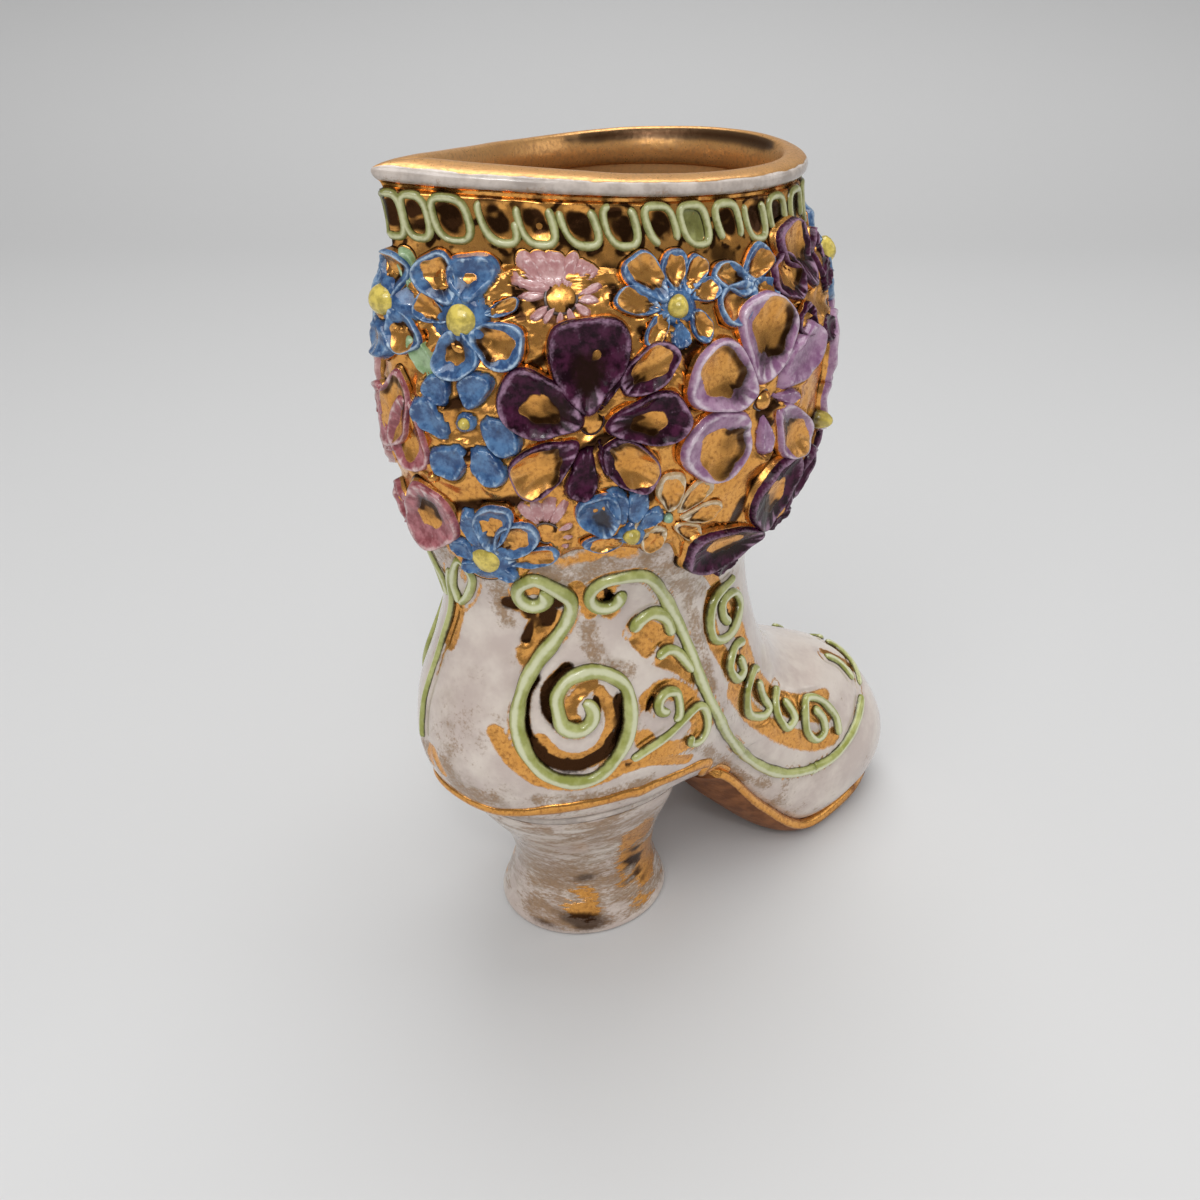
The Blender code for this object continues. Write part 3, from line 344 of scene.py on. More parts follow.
# Petals of the flowers on the right side: level, bearing, direction in degrees, length and width in mm,
# and kind
TRACED_PETALS = {
    "blue_flower_large": (
        (2.29, 153, 127, 11.1, 7.6, "ring"), (2.22, 143, 73, 10.2, 9.4, "lobe"),
        (2.95, 136, 22, 6.7, 2.6, "line"), (3.37, 138, -37, 10.4, 8.8, "ring"),
        (3.49, 148.5, -94, 10.1, 8.2, "cup"), (3.02, 155, 152, 7, 4.9, "line")),
    "pink_aster_large": (
        (2.32, 128.5, 154, 8.6, 3.9, "ray"), (2.05, 126.6, 130, 9.4, 4.2, "ray"),
        (2.02, 124.4, 112, 8.8, 4.2, "ray"), (2, 122, 97, 8.4, 4, "ray"),
        (2.04, 119.5, 76, 7.8, 3.4, "ray"), (2.07, 117.8, 58, 7.4, 3.2, "ray"),
        (2.15, 116.5, 44, 7, 2.9, "ray"), (2.54, 116.2, 22, 5.7, 2, "ray"),
        (2.78, 117, -4, 4.5, 1.8, "ray"), (3, 127.5, -142, 5, 1.8, "ray"),
        (3.02, 125.5, -124, 4.2, 1.6, "ray"), (3.09, 123.5, -103, 4.2, 1.6, "ray"),
        (3.05, 121, -71, 4.6, 1.8, "ray"), (2.95, 118.5, -38, 4.4, 1.8, "ray"),
        (2.7, 128.6, -175, 5.2, 1.8, "ray")),
    "blue_fan_flower": (
        (2.15, 103, 130, 11, 6.8, "line"), (2, 96.5, 88, 8.6, 5, "line"),
        (2.12, 92.2, 61, 8.8, 4.4, "line"), (2.86, 106.5, 168, 9.2, 4.4, "line"),
        (3.24, 103.5, -127, 7.4, 3.8, "line"), (3.24, 94, -66, 7, 4, "line"),
        (3.34, 99, -98, 5.4, 4.2, "solid"), (2.7, 91, 10, 6, 3.8, "line")),
    "blue_flower_twin": (
        (2.37, 83, 148, 8.8, 6.2, "ring"), (2.02, 74.5, 37, 9.4, 6.1, "line"),
        (3.02, 84, -144, 9.1, 7.3, "ring"), (2.92, 75.5, -40, 6.4, 5.1, "line")),
    "plum_flower_upper": (
        (1.95, 57.5, 124, 15.5, 10, "ring"), (2.72, 66, 138, 11.5, 8.2, "ring"),
        (3.1, 43, 19, 10, 6, "solid"), (3.68, 49.5, -36, 9.5, 6, "solid"),
        (3.45, 62.5, -120, 7.4, 5.9, "cup"), (2.25, 43.5, 60, 11, 6.5, "ring")),
    "pansy_large": (
        (3.56, 119, 90, 17.6, 14.6, "deep"), (3.98, 130, 153, 16, 12.6, "cup"),
        (4.56, 131, -138, 14.6, 9.5, "hollow"), (4.66, 122.6, -98, 13.6, 6, "solid"),
        (4.56, 112.5, -44, 14, 8.6, "hollow"), (4.15, 107.6, -2, 15.8, 10, "cup"),
        (3.66, 107, 36, 13.6, 7.4, "ring"), (3.74, 113.6, 60, 11.9, 2.8, "ray"),
        (4.52, 117.6, -72, 9.5, 2.8, "ray")),
    "lilac_flower_large": (
        (3.5, 77.5, 84, 18, 13.4, "ring"), (3.85, 90, 150, 16.8, 12.6, "ring"),
        (4.5, 91.5, -153, 16.5, 14.2, "ring"), (3.82, 66, 32, 18, 10.5, "solid"),
        (4.53, 78.5, -76, 11, 4.6, "ray"), (4.58, 68.5, -46, 16, 9.6, "ring"),
        (4.2, 71.5, -16, 9.5, 3.6, "ray")),
    "forget_me_not": (
        (3.86, 155, 107, 7.4, 6, "solid"), (3.83, 145, 73, 8.2, 6.6, "solid"),
        (4.27, 140, -59, 10.2, 7, "solid"), (4.58, 144.6, -61, 9.4, 7.4, "solid"),
        (4.56, 154.6, -126, 9, 8, "solid"), (4.15, 158.4, 127, 9.8, 7, "solid")),
    "rose_flower_upper": ((4.15, 175, -104, 17.4, 7.4, "hollow"), (4.35, 168.5, -85, 16.5, 7.8, "cup")),
    "rose_flower_lower": ((5.29, 168.5, -82, 15.6, 12.6, "cup"),),
    "blue_flower_low": (
        (5.36, 153, 100, 10.8, 4.2, "solid"), (5.3, 146.5, 80, 11.4, 7.4, "cup"),
        (5.46, 141.2, 41, 11.4, 7.2, "ring"), (5.7, 137.6, 14, 10.6, 5, "line"),
        (5.66, 158, 140, 7, 4.9, "solid"), (5.98, 146.6, -12, 6.6, 3.6, "solid"),
        (5.93, 156.5, 176, 5.6, 3.6, "solid")),
    "pink_aster_small": (
        (5.1, 136.2, 125, 6.6, 3.2, "ray"), (5.06, 134, 103, 6.4, 3.4, "ray"),
        (5.06, 131.5, 81, 6.4, 3.4, "ray"), (5.1, 129.3, 62, 6.2, 3, "ray"), (5.27, 128, 24, 4, 1.7, "ray"),
        (5.39, 128.3, 0, 3.6, 1.8, "ray"), (5.49, 129, -27, 3.4, 1.8, "ray")),
    "blue_flower_ankle": (
        (5.12, 119.5, 128, 10.6, 8.4, "deep"), (5.03, 115.3, 104, 9.4, 4.8, "solid"),
        (5.05, 111, 82, 8.8, 5, "solid"), (5.22, 108, 45, 6.2, 4.4, "solid"),
        (5.5, 118.6, -172, 8.4, 4, "line")),
    "cream_aster": (
        (4.93, 103, 89, 8.8, 6, "line"), (5.02, 97, 40, 9, 4.6, "line"), (5.27, 94.6, 3, 9.2, 4.4, "line"),
        (5.49, 97.5, -31, 7.7, 3.7, "line"), (5.51, 106.5, -129, 6.5, 5.3, "line"),
        (5.29, 108.6, -167, 5, 3.9, "line")),
    "plum_flower_low": (
        (5.37, 70, 98, 19.6, 14.2, "cup"), (5.91, 84, 172, 24, 10, "cup"), (5.86, 60, 40, 8, 5.6, "solid"),
        (6.34, 79, -170, 8.5, 4.6, "solid"), (5.36, 55.5, 70, 15, 8.6, "cup")),
    "blue_flower_back": ((2.28, 177.5, 91, 10, 6.4, "ring"), (3.3, 166.5, -60, 9.4, 6.4, "ring")),
}
# Directions of the petals that complete a flower past the back seam
FURTHER_PETALS = {
    "rose_flower_upper": (150, 215),
    "rose_flower_lower": (205,),
    "blue_flower_back": (130, 190, 250),
}
# Number of petals round a flower that isn't traced, and their kinds in turn, by the start of its name
PETAL_PATTERNS = {
    "pansy": (6, ("deep", "cup", "hollow", "solid", "hollow", "cup")),
    "lilac": (5, ("ring", "ring", "cup", "ring", "solid")),
    "plum": (5, ("cup", "ring", "cup", "ring", "ring")),
    "blue_fan": (8, ("line", "line", "solid", "line")),
    "blue_flower": (5, ("cup", "ring", "lobe", "ring", "cup")),
    "forget_me_not": (6, ("solid",)),
    "pink_aster": (11, ("ray",)),
    "pink_flower": (6, ("solid", "cup")),
    "rose": (5, ("cup", "hollow", "cup", "ring", "hollow")),
    "cream": (7, ("line",)),
}
# Domed centres: level, bearing, radius and height in mm, and the tint that colours them
TRACED_BOSSES = {
    "blue_flower_large": Boss(3.12, 146.0, 3.2, 2.4, "boss"),
    "pink_aster_large": Boss(2.71, 122.5, 2.7, 0.3, "gilt"),
    "blue_fan_flower": Boss(2.98, 98.5, 2.2, 3.0, "boss"),
    "pansy_large": Boss(4.13, 119.8, 2.2, 0.5, "gilt"),
    "lilac_flower_large": Boss(4.15, 80.0, 2.0, 1.6, "gilt"),
    "forget_me_not": Boss(4.17, 148.5, 1.3, 2.0, "boss"),
    "blue_flower_low": Boss(5.78, 150.8, 3.4, 2.0, "boss"),
    "pink_aster_small": Boss(5.34, 132.6, 2.2, 0.2, "gilt"),
    "blue_flower_ankle": Boss(5.42, 112.3, 1.9, 2.6, "boss"),
    "cream_aster": Boss(5.24, 103.6, 1.1, 1.9, "boss"),
    "blue_flower_back": Boss(2.98, 187.0, 2.9, 3.3, "boss"),
    "rose_flower_lower": Boss(4.76, 161.5, 1.3, 2.2, "gilt"),
    "lilac_flower_instep": Boss(4.71, 50.0, 2.2, 4.6, "boss"),
    "blue_flower_instep": Boss(2.73, 35.0, 2.6, 4.6, "boss"),
}
# Height in mm, place of the crest, floor of the hollow, size of the gold patch, darkness and paleness
PETAL_KINDS = {
    "ring": PetalKind(2.8, 0.91, 0.26, 0.66, 0.85, 0.80),
    "cup": PetalKind(3.0, 0.91, 0.18, 0.44, 0.95, 0.70),
    "deep": PetalKind(3.5, 0.91, 0.16, 0.10, 1.0, 0.55),
    "hollow": PetalKind(2.9, 0.92, 0.28, 0.82, 0.75, 0.70),
    "line": PetalKind(2.4, 0.90, 0.34, 0.76, 0.70, 0.55),
    "solid": PetalKind(2.9, 0.72, 0.62, 0.0, 0.30, 0.50),
    "lobe": PetalKind(3.1, 0.80, 0.55, 0.25, 0.60, 0.55),
    "ray": PetalKind(2.5, 0.55, 0.90, 0.0, 0.10, 0.60),
    "base": PetalKind(1.7, 0.60, 0.90, 0.0, 0.60, 0.10),
}
# Rings of a petal: 1 is its outline, and the ones past it run down the bank into the gilded ground
PETAL_RINGS = (0.0, 0.13, 0.26, 0.38, 0.49, 0.58, 0.66, 0.74, 0.81, 0.87, 0.92, 0.96, 1.0, 1.04, 1.08, 1.13)
OUTLINE_RING = PETAL_RINGS.index(1.0)
PETAL_COLUMNS = 44
PETAL_LIFT = 0.9 * MM
BOSS_RINGS = (0.0, 0.2, 0.4, 0.58, 0.74, 0.87, 0.96, 1.02, 1.10, 1.16)
BOSS_COLUMNS = 28
BOSS_LIFT = 1.5 * MM
# Centres lower than this many mm are blotted with brown
FLAT_BOSS_HEIGHT = 1.0


def petal_net(petal, shares, turns, waves):
    """Levels and bearings of a petal's rings, wavy at the edge, pressed onto the boot."""
    first, second, third = waves
    centre, normal, sideways, upward = local_axes(petal.level, petal.bearing)
    angle = math.radians(petal.angle)
    along = sideways * math.cos(angle) + upward * math.sin(angle)
    across = np.cross(normal, along)
    wobble = (1 + 0.05 * np.sin(2 * turns + first) + 0.06 * np.sin(3 * turns + second)
              + 0.03 * np.sin(5 * turns + third))
    half_length, half_width = petal.length * MM / 2, petal.width * MM / 2
    out_along = half_length * np.cos(turns) * shares * wobble
    out_across = half_width * np.sin(turns) * (1 + 0.26 * np.cos(turns)) * shares * wobble
    return settle_net(centre + out_along[..., None] * along + out_across[..., None] * across, normal)


def petal_rise(kind, crest_height, shares, turns, tipness, waves):
    """Rise of a petal's hollow, crest, bank and veins above the boot."""
    first, _, third = waves
    bowl = kind.floor + (1 - kind.floor) * np.clip(shares / kind.crest, 0, 1) ** 2.4
    bank = 1 - 1.18 * ramp(shares, kind.crest, PETAL_RINGS[-1])
    ripple = 0.10 * np.sin(3 * turns + third) + 0.06 * np.sin(7 * turns + first)
    uneven = 1 + ripple * ramp(shares, 0.35, 0.85)
    rise = crest_height * np.where(shares < kind.crest, bowl, bank) * (0.62 + 0.38 * tipness) * uneven
    veins = 0.07 * MM * np.sin(turns * 11 + first) * ramp(shares, 0.45, 0.7) * (1 - ramp(shares, 0.8, 0.95))
    return PETAL_LIFT + rise + veins


def petal_tints(kind, shares, turns, tipness, waves):
    """Gold patch, brown edge and pit, pale crest and brush streaks of a petal."""
    first, second, third = waves
    lean = shares * np.cos(turns) - 0.10 - 0.16 * math.cos(second)
    drift = shares * np.sin(turns) - 0.18 * math.sin(second)
    ragged = (0.10 * np.sin(3 * turns + second) + 0.06 * np.sin(6 * turns + first)) * ramp(shares, 0.1, 0.4)
    from_patch = np.hypot(lean, drift) * (1 + ragged)
    inside = 1 - ramp(shares, 0.86, 0.95)
    patch = brown_edge = 0 * from_patch
    if kind.gold:
        patch = (1 - ramp(from_patch, kind.gold - 0.09, kind.gold + 0.09)) * inside
        facing = np.cos(turns - math.pi - 0.9 * math.sin(third)) + 0.4 * np.sin(3 * turns + first)
        shaded_side = 0.18 + 0.82 * ramp(facing, -0.75, 0.75)
        brown_edge = np.exp(-((from_patch - kind.gold + 0.07) / 0.20) ** 2) * shaded_side
    from_pit = np.hypot(shares * np.cos(turns) + 0.22, shares * np.sin(turns) + 0.14 * math.sin(first))
    pit = 1 - ramp(from_pit, 0.10, 0.85)
    dark = kind.dark * np.maximum(brown_edge, pit * (0.95 - 0.35 * patch)) * inside
    bank_gold, foot = ramp(shares, 0.99, 1.05), ramp(shares, 1.03, 1.11)
    streaks = 0.20 * np.sin(turns * 8 + second) + 0.14 * np.sin(turns * 17 + first)
    streaks = streaks * ramp(shares, 0.3, 0.6)
    throat = (0.7 * (1 - ramp(tipness, 0.08, 0.38)) * ramp(np.sin(turns * 13 + third), -0.3, 0.6)
              * (kind.crest > 0.85))
    crest_line = np.exp(-((shares - kind.crest) / 0.075) ** 2)
    pale = kind.pale * crest_line * (0.5 + 0.5 * tipness) + (streaks + throat) * inside
    return {"gilt": np.maximum(patch, bank_gold), "dark": np.clip(np.maximum(dark, 0.95 * foot), 0, 1),
            "pale": np.clip(pale, 0, 1)}


def petal_surface(petal, relief, seed):
    """Points and tints of one petal pressed onto the boot, and the height of its crest."""
    kind = PETAL_KINDS[petal.kind]
    waves = np.random.default_rng(int(seed * 10)).uniform(0, 2 * math.pi, 3)
    shares = np.array(PETAL_RINGS)[:, None]
    turns = np.linspace(0, 2 * math.pi, PETAL_COLUMNS, endpoint=False)[None, :]
    tipness = np.clip(0.5 + 0.5 * np.cos(turns) * shares, 0, 1)
    crest_height = kind.height * MM * relief * min(1.0, 0.45 + petal.width / 14.0)
    level, bearing = petal_net(petal, shares, turns, waves)
    points = raised(level, bearing, petal_rise(kind, crest_height, shares, turns, tipness, waves))
    return points, petal_tints(kind, shares, turns, tipness, waves), crest_height


def direction_angle(place, direction):
    """Direction in degrees of a line through a place, measured in that place's own plane."""
    _, _, sideways, upward = local_axes(*place)
    return math.degrees(math.atan2(direction @ upward, direction @ sideways))


def ring_petal(flower, angle, length, width, kind):
    """Petal of a flower drawn by rule, at an angle round its centre."""
    centre, normal, sideways, upward = local_axes(flower.level, flower.bearing)
    radius = flower.size * FLOWER_RADIUS
    turn = math.radians(angle)
    direction = sideways * math.cos(turn) + upward * math.sin(turn)
    level, bearing = settle((centre + direction * radius * PETAL_REACH * MM)[None, :], normal)
    place = (float(level[0]), float(bearing[0]))
    return Petal(*place, direction_angle(place, direction), radius * length, width, kind)


def flower_petals(flower):
    """Petals of a flower: the traced ones with any that complete them, or a ring drawn by rule."""
    petals = [Petal(*row) for row in TRACED_PETALS.get(flower.name, ())]
    count, kinds = next(pattern for start, pattern in PETAL_PATTERNS.items()
                        if flower.name.startswith(start))
    radius = flower.size * FLOWER_RADIUS
    if petals:
        angles = FURTHER_PETALS.get(flower.name, ())
    else:
        angles = [flower.turn + 360.0 * index / count for index in range(count)]
    width = min(2 * math.pi * 0.62 * radius / count * 1.02, 0.8 * radius)
    for index, angle in enumerate(angles):
        stretch = 0.92 + 0.12 * math.sin(index * 2.3 + flower.bearing)
        petals.append(ring_petal(flower, angle, 0.80 * stretch, width * (2 - stretch),
                                 kinds[index % len(kinds)]))
    return petals


def boss_surface(boss):
    """Points and tints of a flower's domed centre."""
    centre, normal, sideways, upward = local_axes(boss.level, boss.bearing)
    shares = np.array(BOSS_RINGS)[:, None]
    dome = np.clip(1 - np.minimum(shares, 1.0) ** 2.2, 0, 1) ** 0.75
    dome = dome * (shares < 1.03) - 0.15 * (shares > 1.0)
    turns = np.linspace(0, 2 * math.pi, BOSS_COLUMNS, endpoint=False)[None, :]
    reach = boss.radius * MM * shares * (1 + 0.04 * np.sin(3 * turns + boss.bearing))
    level, bearing = settle_net(centre + (reach * np.cos(turns))[..., None] * sideways
                                + (reach * np.sin(turns))[..., None] * upward, normal)
    blot = 0.9 * ramp(np.sin(2 * turns + boss.bearing) + 0.5 * np.sin(5 * turns), 0.2, 1.2)
    blot = blot * (boss.height < FLAT_BOSS_HEIGHT) * shares
    # Darker round the foot of the dome: painted shade where it meets the ground, with brown antiquing; flat
    # centres get brown blots
    tints = {boss.paint: 1 - ramp(shares, 0.99, 1.04),
             "gilt" if boss.paint != "gilt" else "pale": ramp(shares, 0.97, 1.05),
             "dark": np.clip(ramp(shares, 0.72, 1.08) * 0.8 + blot, 0, 1)}
    return raised(level, bearing, BOSS_LIFT + 0.8 * boss.height * MM * dome), tints


@lru_cache(maxsize=None)
def laid_flowers(relief):
    """Every flower with its petals laid on the boot, and its domed centre or None."""
    made = []
    for flower in FLOWERS:
        boss = TRACED_BOSSES.get(flower.name)
        if boss is None and flower.name not in TRACED_PETALS:
            paint = "gilt" if flower.glaze in ("plum", "lilac", "rose") else "boss"
            boss = Boss(flower.level, flower.bearing, 2.0 * flower.size, 2.0, paint)
        petals = flower_petals(flower)
        if boss is not None and boss.paint == "boss" and flower.glaze == "blue":
            petals.insert(0, Petal(boss.level, boss.bearing, 20.0, boss.radius * 3.6, boss.radius * 3.2,
                                   "base"))
        surfaces = [petal_surface(petal, flower.relief * relief, 1.7 * index + flower.bearing)
                    for index, petal in enumerate(petals)]
        made.append((flower, surfaces, boss))
    return made


def petal_edges(relief):
    """Points on the outlines of all the petals, with the way out of the petal and its crest's height."""
    surfaces = [surface for _, laid, _ in laid_flowers(relief) for surface in laid]
    return (np.concatenate([points[OUTLINE_RING] for points, _, _ in surfaces]),
            np.concatenate([points[OUTLINE_RING] - points[0] for points, _, _ in surfaces]),
            np.concatenate([np.full(PETAL_COLUMNS, crest) for _, _, crest in surfaces]))


# Scrolls of the right side: the curls and the places, level and bearing, that each trail passes through
SCROLLS = {
    "heel_scroll": (
        (Curl(6.5, 138.5, 0.0016, 0.0047, 60, -280), (6.37, 131.5), (6.62, 127.4), (7.02, 127.5),
         (7.46, 131.5), (7.86, 136.7), (8.25, 140.5), (8.64, 141.7), (8.98, 140.5), (9.38, 137),
         (9.76, 131.5), (10.02, 123.5), (10, 116), (9.7, 110), (9.3, 106), (8.82, 105),
         Curl(8.72, 121.5, 0.0121, 0.0046, 385, 530), Curl(8.72, 121.5, 0.0045, 0.0026, 570, 790)),
        ((6.98, 174), (6.5, 173.5), (5.96, 164), (6.25, 160.5), (6.7, 166.5), (6.98, 173.5))),
    "instep_scroll": (
        (Curl(6.6, 115, 0.0016, 0.0056, 40, -262), (6.18, 109), (6.34, 103.5), (6.9, 95), (7.54, 88),
         (8.26, 82.5), (8.88, 79), (9.62, 75), (10.94, 71.5), (14.08, 103.5), (14.68, 99.5), (15.1, 91.5),
         (15.44, 83), (15.66, 70.5), (15.84, 57.5), (15.98, 42.5)),),
    "twin_scroll_upper": ((Curl(9.02, 92.8, 0.0012, 0.0036, -60, -335), (9.3, 88.4), (9.42, 90.5)),),
    "twin_scroll_lower": (
        ((9.86, 105.5), (9.76, 99.5), (9.66, 93.5), (9.5, 87.5), (9.38, 82), (9.48, 79), (9.8, 77.8),
         (10.15, 79), (10.32, 82), (10.2, 85), (10, 84)),),
    "ankle_curl": (
        ((8.28, 60.5), (8.02, 64.5), (7.7, 64), (7.74, 55.5), (8.1, 50.5), (8.4, 55.5), (8.48, 63.5),
         (8.34, 70.5), (7.9, 72), (7.48, 68.5), (7.32, 56)),),
    "lace_garland": (
        ((9.04, 57.5), (9.44, 57), (9.48, 61.5), (9.08, 64.5), (8.78, 60), (8.86, 52.5)),
        ((10.3, 49), (11.1, 51), (11.95, 57), (11.98, 62), (11.06, 60.5), (10.15, 58), (9.8, 51),
         (9.95, 46.5)),
        ((12.42, 52.5), (13.3, 64), (13.88, 75), (13.94, 81.5), (12.96, 66.5), (12.04, 53), (11.66, 44)),
        ((14.18, 65), (14.62, 67.5), (14.88, 73), (14.8, 79), (14.44, 78), (13.98, 68.5), (13.7, 58.5),
         (14.26, 59), (14.94, 62), (15.36, 70))),
    "leaf_lobe_upper": (((7.52, 105), (7.3, 102.5), (7.2, 98), (7.42, 92.5), (7.85, 89.5)),),
    "leaf_lobe_lower": (((8.18, 95.5), (8.1, 91.5), (8.24, 87), (8.66, 82)),),
    "toe_curl": (
        ((14.28, 23.5), (15.02, 26.5), (15.64, 35.5)),
        ((15.34, 3), (15.8, 7.5), (16.04, 22), (15.98, 37))),
}
# Thin line that runs down beside the back seam
SEAM_LINE = ((6.20, 171.5), (6.60, 178.0), (7.34, 184.0), (7.98, 187.0), (8.62, 188.0), (9.16, 188.0),
             (9.60, 187.0))
# Half widths in mm; the thin ones are lines of glaze rather than full ridges
SCROLL_HALF_WIDTHS = {
    "heel_scroll": (1.5, 0.9, 0.75), "instep_scroll": (1.35,), "twin_scroll_upper": (1.1,),
    "twin_scroll_lower": (0.95,), "ankle_curl": (1.1,), "lace_garland": (1.1,) * 4,
    "leaf_lobe_upper": (1.4,), "leaf_lobe_lower": (1.1,), "toe_curl": (1.0, 0.9)}
SCROLL_STEP = 0.45 * MM
STROKE_STEP = 0.4 * MM
# Brush strokes on the foot: width in mm, and the places that they pass through
STROKES = {
    "dark": (
        (3.6, ((6.71, 149), (6.78, 140), (6.68, 131))),
        (3.6, ((6.85, 142), (7.1, 138), (6.86, 134))),
        (2.4, ((7.1, 140), (7.45, 142))),
        (3, ((8.15, 137.5), (8.37, 139.5), (8.73, 139.5), (9.1, 137), (9.4, 132.5))),
        (3.4, ((9.1, 137), (9.46, 131.5), (9.66, 123), (9.61, 115), (9.27, 109), (8.93, 107.5),
         (8.66, 108.5))),
        (3, ((8, 126.5), (8.29, 132), (8.61, 131.5), (8.83, 128))),
        (1.3, ((8.54, 116), (8.75, 115.5), (8.95, 119), (8.92, 123.5))),
        (1.6, ((6.44, 117.5), (6.66, 114.5), (6.83, 115.5))),
        (1.4, ((8.83, 97), (8.98, 99))),
        (1.5, ((7.9, 61.5), (8.32, 58), (8.56, 62.5))),
        (1.3, ((9.41, 56), (9.9, 55))),
        (1.3, ((11.15, 47.5), (12.02, 55))),
        (1.3, ((13.15, 60), (13.85, 72))),
    ),
    "gold": (
        (5.4, ((7, 133.5), (7.44, 136.5), (7.73, 140.5))),
        (2.6, ((6.45, 143), (6.4, 136), (6.62, 136))),
        (2.8, ((9.05, 133.5), (9.39, 127.5), (9.51, 121), (9.39, 115), (9.02, 111.5), (8.71, 112),
         (8.44, 115))),
        (3, ((8.3, 117.5), (8.44, 122), (8.66, 124.5), (8.85, 122.5))),
        (3.6, ((9.61, 139.5), (9.9, 133), (10.12, 122.5), (10.1, 114), (9.98, 104.5), (10.05, 95))),
        (4, ((8.95, 149), (9.22, 145.5), (9.49, 141.5))),
        (3.5, ((6.29, 126), (6.59, 122.5), (6.93, 120))),
        (4.5, ((6.32, 116.5), (6.61, 117), (6.95, 113.5))),
        (4.5, ((7.44, 102.5), (7.63, 97), (7.95, 91))),
        (4.5, ((8.22, 93), (8.41, 87.5), (8.73, 82))),
        (4, ((7.71, 102.5), (7.98, 98.5))),
        (5, ((8.8, 99), (8.73, 92.5), (9.12, 84.5), (9.83, 81), (10.2, 85.5), (9.93, 96), (9.51, 101))),
        (3, ((10.05, 107), (10.15, 98), (10.78, 86))),
        (5, ((7.27, 70.5), (7.93, 71.5), (8.61, 68), (9.27, 62.5))),
        (5.5, ((7.93, 55.5), (8.88, 52), (9.9, 49.5))),
        (5.5, ((9.66, 64.5), (11.39, 60.5), (14.1, 86.5), (14.8, 80.5), (15.24, 72))),
        (5, ((9.78, 56), (11.95, 53), (13.8, 69), (14.76, 63.5))),
        (4.5, ((9.07, 56.5), (11.27, 47), (13.41, 59), (14.41, 54.5))),
        (3, ((6.12, 90), (6.76, 77), (7.39, 66))),
        (3, ((9.68, 179), (9.88, 177), (10.1, 175.5))),
        (5, ((6.95, 177), (7.51, 179), (7.8, 180))),
        (3, ((14.44, 18.5), (15.46, 22.5), (16.32, 26))),
        (3, ((15.46, 6), (15.85, 14.5))),
    ),
    "smoke": (
        (7, ((6.07, 160), (6.02, 142), (5.95, 128), (5.93, 114.5), (6.17, 102), (7.05, 79.5))),
        (5, ((6.39, 150.5), (7.05, 149))),
        (4, ((7.17, 120), (7.93, 115.5), (8.24, 105.5))),
        (3.5, ((6.93, 85), (8.17, 78), (9.22, 75))),
        (4, ((9.73, 173), (10.22, 168.5), (10.34, 153.5))),
        (3, ((10.32, 135.5), (10.54, 116.5), (10.63, 100))),
        (3, ((10.44, 82), (14.2, 122.5), (14.78, 109.5))),
    ),
}
# Dark brown laid into the low places between the flowers: brown antiquing, and painted shade under and next
# to the petals
ANTIQUE_AND_SHADE_PATCHES = (
    (2.6, ((5.12, 158), (5.05, 152), (5, 145.5), (4.95, 139))),
    (3, ((5, 122.5), (4.93, 119.5), (4.88, 114.5), (4.93, 108))),
    (2.8, ((5.27, 82), (5.56, 84.5), (5.76, 89), (5.88, 90.5))),
    (2, ((2.76, 128), (2.98, 126.5), (3.1, 123.5), (3.2, 120.5))),
    (2.2, ((2.46, 111), (2.83, 111), (2.9, 106.5))), (2, ((3.24, 107), (3.41, 104.5), (3.49, 99.5))),
    (2.2, ((2.56, 131.5), (2.88, 132.5), (3.05, 132))), (2.4, ((3.85, 146), (3.98, 150.5), (3.95, 155))),
    (2.2, ((4.49, 141), (4.46, 148.5), (4.49, 153))), (2.2, ((4.44, 124), (4.32, 118.5), (4.24, 114))),
    (2.2, ((4.27, 103.5), (4.2, 101), (4.02, 99.5))), (2.4, ((4.24, 77), (4.27, 80.5), (4.41, 78))),
    (2.2, ((3.41, 94.5), (3.51, 97), (3.68, 98.5))), (2, ((3.51, 128), (3.59, 131), (3.63, 133.5))),
    (2, ((3.66, 108.5), (3.76, 106.5))), (2.2, ((4.61, 131), (4.73, 128))), (2, ((1.95, 79.5), (2.17, 80))),
    (3, ((5, 20), (4.93, 12), (4.9, 4))), (3, ((3.6, 40), (3.5, 28), (3.55, 15))),
    (2.6, ((4.9, 60), (4.95, 50), (4.9, 42))),
)
# Section of a trailed ridge: share of the half width, share of the height, pale, dark
SCROLL_PROFILE = (
    (-1.22, -0.45, 0, 0.8), (-1.16, 0, 0, 0.7), (-1.03, 0.28, 0, 0.3), (-0.88, 0.58, 0, 0),
    (-0.62, 0.86, 0, 0), (-0.3, 0.99, 0.3, 0), (0, 1, 0.75, 0), (0.3, 0.97, 1, 0), (0.62, 0.84, 0.7, 0),
    (0.88, 0.56, 0.2, 0), (1.03, 0.28, 0, 0.3), (1.16, 0, 0, 0.7), (1.22, -0.45, 0, 0.8), (0.6, -0.7, 0, 1),
    (-0.6, -0.7, 0, 1))
PROFILE_TINTS = ("pale", "dark", "gilt")


def even_line(points, step):
    """Even points along a smooth line through the given ones."""
    position = np.linspace(0, len(points) - 1, 40 * (len(points) - 1) + 1)
    fine = smooth_values(points, position)
    run = running_length(fine)
    wanted = np.linspace(0, run[-1], max(int(round(run[-1] / step)), 2) + 1)
    return np.stack([np.interp(wanted, run, fine[:, axis]) for axis in range(3)], -1)


